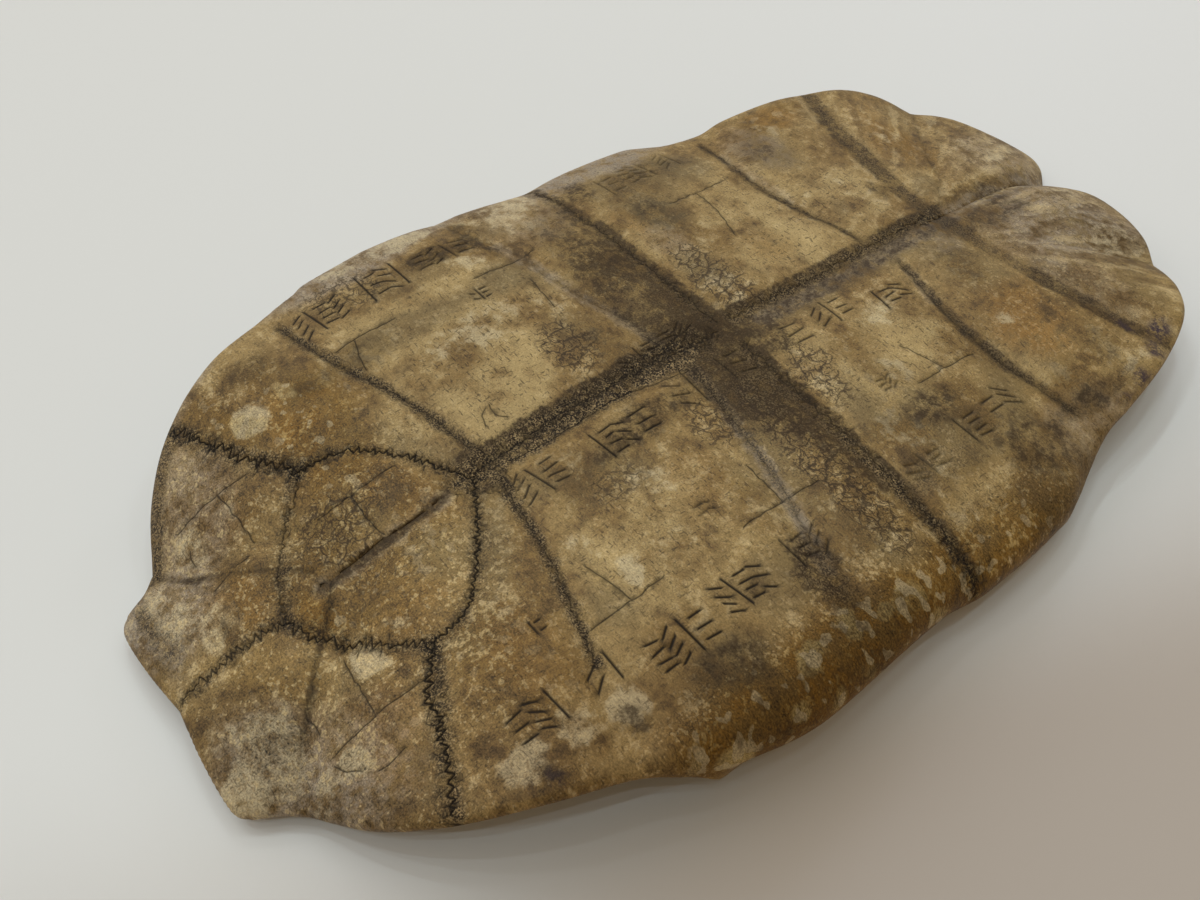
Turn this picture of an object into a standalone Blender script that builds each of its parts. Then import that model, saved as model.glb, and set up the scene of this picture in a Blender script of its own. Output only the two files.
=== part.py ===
"""Turtle plastron worked as an oracle bone: one piece of bone, lying with its outer face up.

Metres, +Z up, +Y towards the head end. The origin is on the table, under the middle of the
piece's box, and the piece is mirrored about x = 0. Sizes below are in millimetres.
"""
import bpy
import numpy as np

metresPerMm = 0.001

# Half of the outline, from the nick in the front edge round to the notch between the rear lobes.
# Each place gives x and y of the outermost line, the height of the wall's middle where the face
# ends and the flank starts, the fullness of the face between the midline and there, the degrees
# by which the flank turns down, and the length of the flank. A new run starts at each corner.
frontRun = [
    (0.0, 100.2, 5.8, 1.6, 5, 2.5), (9.0, 101.2, 5.0, 1.5, 5, 2.5), (18.0, 101.3, 4.2, 1.4, 5, 2.5),
    (20.8, 99.6, 4.2, 1.4, 5, 2.5)]
frontNotchRun = [
    (20.8, 99.6, 4.2, 1.4, 5, 2.5), (22.9, 96.0, 4.2, 1.4, 5, 2.5), (25.6, 93.1, 4.6, 1.5, 5, 2.5)]
sideRun = [
    (25.6, 93.1, 4.6, 1.5, 5, 2.5), (35.3, 87.2, 9.2, 1.9, 8, 2.5), (43.4, 78.9, 14.0, 2.4, 10, 2.5),
    (49.6, 68.0, 16.6, 3.0, 12, 2.5), (53.4, 58.0, 16.4, 3.6, 15, 2.5), (56.4, 50.5, 16.5, 3.9, 60, 6.2),
    (58.0, 41.5, 16.4, 5.0, 100, 15.2), (59.8, 29.0, 15.7, 5.5, 110, 20.2),
    (58.9, 12.0, 14.4, 5.0, 110, 18.6), (58.3, 0.0, 12.8, 4.4, 108, 16.6),
    (59.1, -9.0, 11.6, 4.0, 105, 14.8), (58.9, -22.0, 11.0, 3.4, 100, 13.9),
    (57.3, -33.0, 10.8, 2.8, 70, 9.5), (53.2, -46.5, 9.8, 1.8, 14, 2.5),
    (52.3, -53.5, 11.0, 1.7, 10, 2.5), (49.8, -66.5, 11.8, 1.7, 8, 2.5),
    (45.4, -78.4, 11.6, 1.7, 8, 2.5), (39.6, -85.6, 10.2, 1.7, 5, 2.5), (32.0, -90.4, 7.8, 1.7, 5, 2.5)]
rearLobeRun = [
    (32.0, -90.4, 7.8, 1.7, 5, 2.5), (24.6, -97.0, 7.0, 1.9, 5, 2.5), (14.0, -103.4, 4.0, 2.2, 5, 2.5),
    (6.4, -104.4, 2.7, 2.2, 3, 2.5), (0.0, -98.4, 2.6, 2.2, 3, 2.5)]
outlineRuns = [(frontRun, 6), (frontNotchRun, 3), (sideRun, 57), (rearLobeRun, 10)]

# Height of the wall's middle along the midline, at each y, and the stretch the stations fan from
crownPlaces = [(74, 12.4), (60, 15.4), (42, 17.4), (16, 17.6), (-8, 16.2), (-34, 14.2), (-56, 13.1),
               (-74, 10.2)]
crownSteps = 60
spineFront, spineRear = 72.0, -72.0

# Wall: half its thickness at the rim and inside, and the lengths over which it rounds and thickens
rimHalfThickness = 1.5
coreHalfThickness = 2.4
rimRoundLength = 1.9
thickeningLength = 20.0

# The flank has turned fully by this share of its length, and the feet stand flat below this height
turnShare = 0.62
contactHeight = 0.5

# Rings of the mesh from the midline out, and the rows that round the rim, in degrees
faceRings = 8
flankRings = 4
flankSamples = 48
rimAngles = (40, 70, 90)
weldDistance = 0.0001

# Broad valleys of the outer face: half width, depth, and the plan path of each on the +X side
sutureWidth, sutureDepth = 4.6, 0.9
furrowWidth, furrowDepth = 3.4, 0.55
pathSteps = 24
sutures = [
    [(0, 100), (0, -100)],
    [(20, 66.5), (27, 71.3), (35, 74.4), (43, 78.6)],
    [(0, 46), (9, 51.3), (17, 58), (20, 66.5)],
    [(20, 66.5), (13, 73), (6, 78.5), (0, 81.5)],
    [(0, -6.5), (20, -6.5), (42, -6), (60, -6)],
    [(0, -61.5), (16, -63.2), (32, -66.5), (47.5, -73)],
]
furrows = [
    [(0, 72.5), (6, 76.5), (15, 86.5), (25.6, 93.2)],
    [(0, 43.2), (15, 45.4), (30, 49.8), (54, 55)],
    [(0, 4), (14, 6.3), (30, 10), (42, 12.5), (58, 16)],
    [(0, -45.6), (12, -43.2), (27, -41), (42, -43), (52.4, -45.5)],
    [(2, -64), (8, -71), (20, -82), (32, -90.4)],
]


def smoothRun(places, steps):
    """Catmull-Rom curve through the places, in steps equal spans of their running number."""
    p = np.array(places, float)
    p = np.vstack([2 * p[0] - p[1], p, 2 * p[-1] - p[-2]])
    t = np.linspace(0, len(places) - 1, steps + 1)
    k = np.minimum(t.astype(int), len(places) - 2)
    u = (t - k)[:, None]
    a, b, c, d = p[k], p[k + 1], p[k + 2], p[k + 3]
    return 0.5 * (2 * b + (c - a) * u + (2 * a - 5 * b + 4 * c - d) * u**2 + (3 * b - a - 3 * c + d) * u**3)


def halfOutline():
    """Stations of the half outline, each with the six values of its place."""
    runs = [smoothRun(places, steps) for places, steps in outlineRuns]
    return np.vstack([runs[0]] + [run[1:] for run in runs[1:]])


def crownHeight(y):
    """Smooth height of the wall's middle along the midline."""
    curve = smoothRun(crownPlaces, crownSteps)
    return np.interp(-y, -curve[:, 0], curve[:, 1])


def smoothStep(t):
    t = np.clip(t, 0, 1)
    return t * t * (3 - 2 * t)


def distanceToPath(x, y, path):
    """Plan distance from each point to the nearest span of a smooth path."""
    curve = np.array(path, float) if len(path) == 2 else smoothRun(path, pathSteps)
    nearest = np.full(x.shape, np.inf)
    for (ax, ay), (bx, by) in zip(curve[:-1], curve[1:]):
        along = np.clip(((x - ax) * (bx - ax) + (y - ay) * (by - ay)) / ((bx - ax)**2 + (by - ay)**2), 0, 1)
        nearest = np.minimum(nearest, np.hypot(x - ax - along * (bx - ax), y - ay - along * (by - ay)))
    return nearest


def valleys(x, y):
    """Depth of the broad valleys: each a bell across its path, the deepest one taken."""
    depth = np.zeros(x.shape)
    for paths, width, deepest in ((sutures, sutureWidth, sutureDepth), (furrows, furrowWidth, furrowDepth)):
        for path in paths:
            depth = np.maximum(depth, deepest * np.exp(-(distanceToPath(x, y, path) / width)**2))
    return depth


def flankCourse(slope, turn, length):
    """Reach and drop along a flank: it leaves the face at the face's slope and turns down by turn."""
    along = np.linspace(0, 1, flankSamples + 1)
    middle = (along[1:] + along[:-1]) / 2
    angle = slope + turn * smoothStep(middle / turnShare)
    step = length / flankSamples
    reach = np.hstack([np.zeros_like(slope), np.cumsum(np.cos(angle) * step, axis=1)])
    drop = np.hstack([np.zeros_like(slope), np.cumsum(np.sin(angle) * step, axis=1)])
    return along, reach, drop


def wallGrid():
    """Middle of the wall on the +X half, station by ring, with its unit normals and half thickness."""
    stations = halfOutline()
    outX, outY, edgeZ, fullness, turn, flank = (column[:, None] for column in stations.T)
    arc = np.r_[0, np.cumsum(np.hypot(*np.diff(stations[:, :2], axis=0).T))]
    spineY = (spineFront + (spineRear - spineFront) * arc / arc[-1])[:, None]
    crown = crownHeight(spineY)
    outLength = np.hypot(outX, outY - spineY)
    slope = np.arctan((crown - edgeZ) * fullness / outLength)
    along, reach, drop = flankCourse(slope, np.radians(turn), flank)
    faceLength = outLength - reach.max(axis=1, keepdims=True)

    ring = np.linspace(0, 1, faceRings + 1)[None, :]
    faceReach = faceLength * ring
    faceZ = edgeZ + (crown - edgeZ) * (1 - ring**fullness)
    roundShare = rimRoundLength / flank
    rows = np.linspace(0, 1, flankRings + 1)[None, 1:] * (1 - roundShare)
    rounding = 1 - roundShare * (1 - np.sin(np.radians(rimAngles)))
    rows = np.hstack([rows, rounding])
    flankReach = np.array([np.interp(row, along, r) for row, r in zip(rows, reach)])
    flankDrop = np.array([np.interp(row, along, d) for row, d in zip(rows, drop)])

    share = np.hstack([faceReach, faceLength + flankReach]) / outLength
    middle = np.stack([outX * share, spineY + (outY - spineY) * share,
                       np.hstack([faceZ, edgeZ - flankDrop])], -1)
    normal = np.cross(np.gradient(middle, axis=0), np.gradient(middle, axis=1))
    normal[0, 0] = normal[0, 1] + normal[1, 0]
    normal[-1, 0] = normal[-1, 1] + normal[-2, 0]
    normal[:, 0, 0] = 0
    normal[[0, -1], :, 0] = 0
    normal /= np.linalg.norm(normal, axis=2, keepdims=True)

    fromRim = np.hstack([flank + faceLength * (1 - ring), flank * (1 - rows)])
    roundPart = np.sqrt(1 - (1 - np.minimum(fromRim / rimRoundLength, 1))**2)
    half = rimHalfThickness * roundPart
    half += (coreHalfThickness - rimHalfThickness) * smoothStep(fromRim / thickeningLength)
    half[:, -1] = 0
    return middle, normal, half


def skinQuads(stationCount, ringCount):
    """Quads of one skin over the grid, facing up."""
    number = np.arange(stationCount * ringCount).reshape(stationCount, ringCount)
    corners = [number[:-1, :-1], number[1:, :-1], number[1:, 1:], number[:-1, 1:]]
    return np.stack(corners, -1).reshape(-1, 4)


def weld(points, faces):
    """Merge points that coincide along the midline and the rim, and cut the faces to triangles."""
    rounded = np.round(points / weldDistance).astype(np.int64)
    _, first, same = np.unique(rounded, axis=0, return_index=True, return_inverse=True)
    same = same.reshape(-1)
    triangles = np.vstack([same[faces[:, [0, 1, 2]]], same[faces[:, [0, 2, 3]]]])
    a, b, c = triangles.T
    return points[first], triangles[(a != b) & (b != c) & (c != a)]


def plastronMesh():
    """Two skins offset from the wall's middle, mirrored and joined round the rim."""
    middle, normal, half = wallGrid()
    upper = middle + normal * half[..., None]
    lower = middle - normal * half[..., None]
    upper[..., 2] -= valleys(middle[..., 0], middle[..., 1]) * half / coreHalfThickness
    points = np.vstack([upper.reshape(-1, 3), lower.reshape(-1, 3)])
    points[:, 2] = np.where(points[:, 2] < contactHeight, 0, points[:, 2])
    points[:, 1] -= (points[:, 1].max() + points[:, 1].min()) / 2

    topQuads = skinQuads(*half.shape)
    quads = np.vstack([topQuads, topQuads[:, ::-1] + half.size])
    faces = np.vstack([quads, quads[:, ::-1] + len(points)])
    return weld(np.vstack([points, points * [-1, 1, 1]]), faces)


def boneMaterial():
    bone = bpy.data.materials.new("polishedBone")
    bone.use_nodes = True
    shader = bone.node_tree.nodes["Principled BSDF"]
    shader.inputs["Base Color"].default_value = (0.26, 0.17, 0.075, 1)
    shader.inputs["Roughness"].default_value = 0.42
    shader.inputs["Metallic"].default_value = 0.0
    return bone


def main():
    for thing in list(bpy.data.objects):
        bpy.data.objects.remove(thing, do_unlink=True)
    points, triangles = plastronMesh()
    mesh = bpy.data.meshes.new("plastron")
    mesh.from_pydata((points * metresPerMm).tolist(), [], triangles.tolist())
    mesh.shade_smooth()
    mesh.materials.append(boneMaterial())
    plastron = bpy.data.objects.new("plastron", mesh)
    bpy.context.scene.collection.objects.link(plastron)
    print("plastron:", len(points), "points,", len(triangles), "triangles")


main()
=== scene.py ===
# Turtle plastron oracle bone: a thin arched plate of polished bone, outer face up, on a pale table.
import math

import bpy
import numpy as np
from mathutils import Matrix, Vector, geometry


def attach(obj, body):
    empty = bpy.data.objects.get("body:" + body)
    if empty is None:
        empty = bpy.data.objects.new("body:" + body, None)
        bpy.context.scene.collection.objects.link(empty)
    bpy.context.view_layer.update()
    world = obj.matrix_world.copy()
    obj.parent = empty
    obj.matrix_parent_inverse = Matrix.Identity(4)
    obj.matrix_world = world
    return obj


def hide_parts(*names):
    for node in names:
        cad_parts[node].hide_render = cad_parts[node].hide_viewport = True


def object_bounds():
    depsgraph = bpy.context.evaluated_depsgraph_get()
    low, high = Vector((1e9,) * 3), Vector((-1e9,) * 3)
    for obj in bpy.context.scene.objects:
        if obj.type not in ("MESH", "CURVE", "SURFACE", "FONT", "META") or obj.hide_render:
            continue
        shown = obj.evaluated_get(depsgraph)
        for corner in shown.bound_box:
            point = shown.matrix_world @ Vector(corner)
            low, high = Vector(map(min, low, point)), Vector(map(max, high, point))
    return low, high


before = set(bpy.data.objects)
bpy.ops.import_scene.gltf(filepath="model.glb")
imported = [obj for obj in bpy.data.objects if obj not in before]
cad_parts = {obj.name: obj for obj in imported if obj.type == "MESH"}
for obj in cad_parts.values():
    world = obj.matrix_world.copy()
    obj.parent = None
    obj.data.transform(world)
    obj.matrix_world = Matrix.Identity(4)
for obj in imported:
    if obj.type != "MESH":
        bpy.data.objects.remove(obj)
cadLow, cadHigh = [np.array(corner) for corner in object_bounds()]
print("frame loaded, box", cadLow.round(4), cadHigh.round(4))

mm = 0.001


def smoothStep(t):
    # 3t^2 - 2t^3 between 0 and 1
    t = np.clip(t, 0, 1)
    return t * t * (3 - 2 * t)


def smoothRun(places, count):
    # Catmull-Rom through the places: count + 1 points at equal spans of their running number
    p = np.array(places, float)
    p = np.vstack([2 * p[0] - p[1], p, 2 * p[-1] - p[-2]])
    t = np.linspace(0, len(places) - 1, count + 1)
    k = np.minimum(t.astype(int), len(places) - 2)
    u = (t - k)[:, None]
    a, b, c, d = p[k], p[k + 1], p[k + 2], p[k + 3]
    square, cube = 2 * a - 5 * b + 4 * c - d, 3 * b - a - 3 * c + d
    return 0.5 * (2 * b + (c - a) * u + square * u**2 + cube * u**3)


def evenly(line, step):
    # the line's points set again at equal lengths of about step along it
    line = np.array(line, float)
    arc = np.r_[0, np.cumsum(np.hypot(*np.diff(line, axis=0).T))]
    marks = np.linspace(0, arc[-1], max(int(round(arc[-1] / step)), 1) + 1)
    return np.stack([np.interp(marks, arc, line[:, k]) for k in range(line.shape[1])], -1)


def course(places, step):
    # a smooth curve through the places, at equal steps; two places make a straight line
    line = np.array(places, float) if len(places) == 2 else smoothRun(places, 24 * (len(places) - 1))
    return evenly(line, step)


def sideways(line):
    # unit vectors square to the line, to its left
    along = np.gradient(line, axis=0)
    along /= np.maximum(np.hypot(along[:, 0], along[:, 1]), 1e-9)[:, None]
    return np.stack([-along[:, 1], along[:, 0]], -1)


def softNoise(x, y, size, seed):
    # random numbers on a square net of that size, eased from one knot to the next: -1 to 1
    knots = 128     # past them the pattern repeats
    net = np.random.default_rng(seed).uniform(-1, 1, (knots, knots))
    u, v = x / size + knots / 2, y / size + knots / 2
    i, j = np.floor(u).astype(int), np.floor(v).astype(int)
    a, b = smoothStep(u - i), smoothStep(v - j)
    i, j, i1, j1 = i % knots, j % knots, (i + 1) % knots, (j + 1) % knots
    rear = net[i, j] * (1 - a) + net[i1, j] * a
    front = net[i, j1] * (1 - a) + net[i1, j1] * a
    return rear * (1 - b) + front * b


def cloud(x, y, size, seed, layers=3):
    # soft noise with finer and fainter layers added
    total = sum(softNoise(x, y, size / 2**k, seed + k) / 2**k for k in range(layers))
    return total / (2 - 2**(1 - layers))


def readAlong(values, at):
    # values set at 0, 1, 2 and so on, read between them in straight lines
    return np.stack([np.interp(at, np.arange(len(values)), values[:, k]) for k in (0, 1)], -1)


# Outline places: x and y of the outermost line, height of the wall's middle where the face ends,
# fullness of the face, degrees by which the flank turns down, length of the flank. Millimetres.
plate = {
    "front": [
        (0.0, 100.2, 5.8, 1.6, 5, 2.5), (9.0, 101.2, 5.0, 1.5, 5, 2.5), (18.0, 101.3, 4.2, 1.4, 5, 2.5),
        (20.8, 99.6, 4.2, 1.4, 5, 2.5),
    ],
    "frontNotch": [
        (20.8, 99.6, 4.2, 1.4, 5, 2.5), (22.9, 96.0, 4.2, 1.4, 5, 2.5), (25.6, 93.1, 4.6, 1.5, 5, 2.5),
    ],
    "side": [
        (25.6, 93.1, 4.6, 1.5, 5, 2.5), (35.3, 87.2, 9.2, 1.9, 8, 2.5), (43.4, 78.9, 14.0, 2.4, 10, 2.5),
        (49.6, 68.0, 16.6, 3.0, 12, 2.5), (53.4, 58.0, 16.4, 3.6, 15, 2.5),
        (56.4, 50.5, 16.5, 3.9, 60, 6.2), (58.0, 41.5, 16.4, 5.0, 100, 15.2),
        (59.8, 29.0, 15.7, 5.5, 110, 20.2), (58.9, 12.0, 14.4, 5.0, 110, 18.6),
        (58.3, 0.0, 12.8, 4.4, 108, 16.6), (59.1, -9.0, 11.6, 4.0, 105, 14.8),
        (58.9, -22.0, 11.0, 3.4, 100, 13.9), (57.3, -33.0, 10.8, 2.8, 70, 9.5),
        (53.2, -46.5, 9.8, 1.8, 14, 2.5), (52.3, -53.5, 11.0, 1.7, 10, 2.5),
        (49.8, -66.5, 11.8, 1.7, 8, 2.5), (45.4, -78.4, 11.6, 1.7, 8, 2.5),
        (39.6, -85.6, 10.2, 1.7, 5, 2.5), (32.0, -90.4, 7.8, 1.7, 5, 2.5),
    ],
    "rearLobe": [
        (32.0, -90.4, 7.8, 1.7, 5, 2.5), (24.6, -97.0, 7.0, 1.9, 5, 2.5),
        (14.0, -103.4, 4.0, 2.2, 5, 2.5), (6.4, -104.4, 2.7, 2.2, 3, 2.5), (0.0, -98.4, 2.6, 2.2, 3, 2.5),
    ],
    "steps": {"front": 24, "frontNotch": 12, "side": 240, "rearLobe": 46},
    "crown": [
        (74, 12.4), (60, 15.4), (42, 17.4), (16, 17.6), (-8, 16.2), (-34, 14.2), (-56, 13.1), (-74, 10.2),
    ],
    "spine": (72.0, -72.0),         # the midline stretch that the stations fan out from
    "rimHalf": 1.5,                 # half the wall at the rim
    "coreHalf": 2.4,                # half the wall inside
    "rimRound": 1.9,                # length over which the rim rounds
    "thickening": 20.0,             # length over which it grows from one to the other
    "turnShare": 0.62,              # share of the flank on which it turns down
    "contact": 0.5,                 # what hangs lower than this stands flat on the table
    "rows": 201,                    # places along each line from the spine to the outline
    "crownSteps": 60,
    "flankSteps": 48,
    "sutureValley": (4.6, 0.9),     # half width and depth of the broad valleys
    "furrowValley": (3.4, 0.55),
    "topStep": 0.84,                # spacing of the mesh on the outer face
    "underStep": 1.9,               # and on the hidden face
    "underSeam": {"step": 1.2, "half": 1.1, "depth": 0.25, "ink": 0.5},
    "netReach": (78, 110),          # the net of places is laid this far to the sides and to both ends
    "cell": 0.13,                   # of places closer than this only one is kept
    "rimRows": (68, 46, 22),        # rows that round the rim, in degrees
    "rowGap": 0.55,                 # how far past a groove the net is looked at
}


def wallTable():
    # Straight lines fan out from the spine to the outline. Along each, the middle of the wall is
    # edge + (crown - edge)(1 - share^fullness) over the face, then a flank of the given length that
    # leaves at the face's slope and turns down by its angle, which is summed step by step.
    runs = [smoothRun(plate[name], steps) for name, steps in plate["steps"].items()]
    stations = np.vstack([runs[0]] + [run[1:] for run in runs[1:]])
    outX, outY, edge, fullness, turn, flank = (column[:, None] for column in stations.T)
    arc = np.r_[0, np.cumsum(np.hypot(*np.diff(stations[:, :2], axis=0).T))]
    spineY = (plate["spine"][0] + (plate["spine"][1] - plate["spine"][0]) * arc / arc[-1])[:, None]
    curve = smoothRun(plate["crown"], plate["crownSteps"])
    crown = np.interp(-spineY, -curve[:, 0], curve[:, 1])
    outLength = np.hypot(outX, outY - spineY)
    slope = np.arctan((crown - edge) * fullness / outLength)
    steps = plate["flankSteps"]
    along = np.linspace(0, 1, steps + 1)
    angle = slope + np.radians(turn) * smoothStep((along[1:] + along[:-1]) / 2 / plate["turnShare"])
    start = np.zeros_like(slope)
    reach = np.hstack([start, np.cumsum(np.cos(angle) * flank / steps, axis=1)])
    drop = np.hstack([start, np.cumsum(np.sin(angle) * flank / steps, axis=1)])
    face = outLength - reach.max(axis=1, keepdims=True)
    total = face + flank
    rho = np.linspace(0, 1, plate["rows"])[None, :] * total
    share = np.minimum(rho / face, 1)
    past = np.clip((rho - face) / flank, 0, 1)
    flankReach = np.array([np.interp(p, along, r) for p, r in zip(past, reach)])
    flankDrop = np.array([np.interp(p, along, d) for p, d in zip(past, drop)])
    planReach = share * face + flankReach
    wayX, wayY = outX / outLength, (outY - spineY) / outLength
    middle = np.stack([wayX * planReach, spineY + wayY * planReach,
                       edge + (crown - edge) * (1 - share**fullness) - flankDrop], -1)
    normal = np.cross(np.gradient(middle, axis=0), np.gradient(middle, axis=1))
    # the halves mirror each other, so on the midline the normal leans to neither side
    normal[0, 0] = normal[0, 1] + normal[1, 0]
    normal[-1, 0] = normal[-1, 1] + normal[-2, 0]
    normal[:, 0, 0] = 0
    normal[[0, -1], :, 0] = 0
    normal /= np.linalg.norm(normal, axis=2, keepdims=True)
    return {"spineY": spineY[:, 0], "wayX": wayX[:, 0], "wayY": wayY[:, 0], "total": total[:, 0],
            "middle": middle, "normal": normal}


def locate(table, x, y):
    # Which station's line passes through a place of the flat pattern, and what share of its length
    # the place lies at: the line turns past the place where the cross product changes sign.
    x, y = np.abs(x), np.asarray(y, float)
    station = np.zeros(len(x))
    batch = 8000    # places worked out at a time
    for some in np.array_split(np.arange(len(x)), max(len(x) // batch, 1)):
        cross = table["wayX"] * (y[some, None] - table["spineY"]) - table["wayY"] * x[some, None]
        turned = (cross[:, :-1] <= 0) & (cross[:, 1:] > 0)
        endmost = np.where(y[some] > 0, 0, cross.shape[1] - 2)
        k = np.where(turned.any(axis=1), np.argmax(turned, axis=1), endmost)
        low, high = cross[np.arange(len(some)), k], cross[np.arange(len(some)), k + 1]
        station[some] = k + np.clip(-low / (high - low), 0, 1)
    count = np.arange(len(table["total"]))
    rho = np.hypot(x, y - np.interp(station, count, table["spineY"]))
    share = rho / np.interp(station, count, table["total"])
    return station, share


def wallAt(table, station, share):
    # middle, normal and half thickness of the wall, read between the table's places
    i = np.minimum(station.astype(int), len(table["total"]) - 2)
    row = np.clip(share, 0, 1) * (plate["rows"] - 1)
    j = np.minimum(row.astype(int), plate["rows"] - 2)
    a, b = (station - i)[:, None], (row - j)[:, None]

    def between(values):
        return ((values[i, j] * (1 - a) + values[i + 1, j] * a) * (1 - b)
                + (values[i, j + 1] * (1 - a) + values[i + 1, j + 1] * a) * b)

    normal = between(table["normal"])
    normal /= np.linalg.norm(normal, axis=1, keepdims=True)
    total = np.interp(station, np.arange(len(table["total"])), table["total"])
    fromRim = total * (1 - np.clip(share, 0, 1))
    half = plate["rimHalf"] * np.sqrt(1 - (1 - np.minimum(fromRim / plate["rimRound"], 1))**2)
    half += (plate["coreHalf"] - plate["rimHalf"]) * smoothStep(fromRim / plate["thickening"])
    half[fromRim < 1e-9] = 0
    return between(table["middle"]), normal, half


# Paths are on the flat pattern in millimetres. Toothed sutures: how far the teeth reach, their pitch,
# groove half width, hairs for each half millimetre, depth and darkness
sutures = {
    "frontMidline": {
        "path": [(0.6, 100.5), (0.6, 96), (0.2, 90), (-0.4, 85), (-1.6, 81)],
        "reach": 0.75, "pitch": 1.1, "half": 0.2, "fuzz": 0.5, "depth": 0.3, "ink": 0.85},
    "entoFrontNear": {
        "path": [(-1.6, 81), (-5, 79.2), (-9, 77), (-13, 73), (-17, 70), (-20.4, 66.4)],
        "reach": 0.95, "pitch": 1.25, "half": 0.2, "fuzz": 0.7, "depth": 0.32, "ink": 0.95},
    "entoFrontFar": {
        "path": [(-1.6, 81), (3, 79.6), (7.5, 77.2), (13, 73), (16.3, 69), (19.7, 66.2)],
        "reach": 0.6, "pitch": 1.3, "half": 0.18, "fuzz": 0.35, "depth": 0.26, "ink": 0.7},
    "entoRearNear": {
        "path": [(-20.4, 66.4), (-20, 62.5), (-18.6, 59.5), (-14.5, 55.5), (-10, 52), (-5, 48.8),
                 (0, 46)],
        "reach": 0.5, "pitch": 1.15, "half": 0.23, "fuzz": 0.6, "depth": 0.36, "ink": 1},
    "entoRearFar": {
        "path": [(19.7, 66.2), (18.9, 62), (17, 58), (13.5, 54.6), (9, 51.4), (4, 48.6), (0, 46)],
        "reach": 0.7, "pitch": 1.2, "half": 0.23, "fuzz": 0.6, "depth": 0.36, "ink": 1},
    "epiHyoFar": {
        "path": [(19.7, 66.2), (22.5, 67.6), (26, 70.8), (30, 72.2), (35, 74.6), (39, 76.6),
                 (43.2, 78.6)],
        "reach": 1.15, "pitch": 1.45, "half": 0.23, "fuzz": 1, "depth": 0.4, "ink": 1},
    "epiHyoNear": {
        "path": [(-20.4, 66.4), (-23, 68.8), (-27, 71.2), (-32, 72.8), (-36.5, 75), (-40, 76.8),
                 (-43.5, 78.6)],
        "reach": 0.85, "pitch": 1.3, "half": 0.24, "fuzz": 0.9, "depth": 0.4, "ink": 1},
}

# Scute furrows: a smooth shallow bed with a fine line in it. Half width, depth and darkness of the bed
furrows = {
    "gularNear": {
        "path": [(-0.6, 72.5), (-3, 74), (-7, 78), (-11, 82.3), (-16, 87.3)],
        "half": 0.75, "depth": 0.16, "ink": 0.62},
    "gularNearTip": {
        "path": [(-16, 87.3), (-19.5, 90.5), (-24.5, 94)],
        "half": 0.7, "depth": 0.12, "ink": 0.25},
    "gularFar": {
        "path": [(-0.6, 72.5), (3, 74.2), (7, 77.4), (11, 82), (15.5, 87), (20, 90.5), (25, 93)],
        "half": 0.8, "depth": 0.16, "ink": 0.42},
    "humeralMidline": {
        "path": [(-0.6, 72.5), (-0.8, 66), (-0.6, 60), (-0.4, 53)],
        "half": 1.3, "depth": 0.18, "ink": 0.36},
    "humeralNear": {
        "path": [(-3.5, 43.4), (-10, 44.4), (-16, 45.5), (-24, 47.2), (-30, 49), (-38.5, 51.6)],
        "half": 0.8, "depth": 0.26, "ink": 0.8},
    "humeralFar": {
        "path": [(4.5, 43.3), (10, 44.3), (16, 45.4), (22, 46.9), (28, 48.9), (34, 51), (41, 52.6),
                 (49, 54.2)],
        "half": 0.95, "depth": 0.28, "ink": 0.8},
    "pectoralNear": {
        "path": [(-4, 4.4), (-12, 6), (-20, 7.4), (-28, 9.2), (-36, 11.6), (-42, 13.4)],
        "half": 0.9, "depth": 0.2, "ink": 0.6},
    "pectoralFar": {
        "path": [(8, 5.2), (15, 6.6), (22, 8.6), (30, 10.1), (36, 10.4), (42, 12.2), (50, 14.8),
                 (57, 15.6)],
        "half": 0.7, "depth": 0.14, "ink": 0.4},
    "abdominalNear": {
        "path": [(-5, -45.6), (-11, -43.8), (-18, -42.4), (-26, -41.3), (-33, -41.6), (-40, -43),
                 (-48, -44.6)],
        "half": 1, "depth": 0.24, "ink": 0.66},
    "abdominalFar": {
        "path": [(4, -44.2), (10, -43.2), (17, -41.4), (24, -40.5), (31, -41.2), (38, -42.6),
                 (48, -43.4)],
        "half": 0.8, "depth": 0.24, "ink": 0.66},
    "analFar": {
        "path": [(2.5, -65), (6, -69.2), (10, -73), (15, -76.2), (21, -81), (30, -89)],
        "half": 0.8, "depth": 0.14, "ink": 0.34},
    "analNear": {
        "path": [(-3, -65), (-9, -69.5), (-16, -74), (-24, -81), (-31, -89)],
        "half": 0.9, "depth": 0.1, "ink": 0.22},
}

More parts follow.
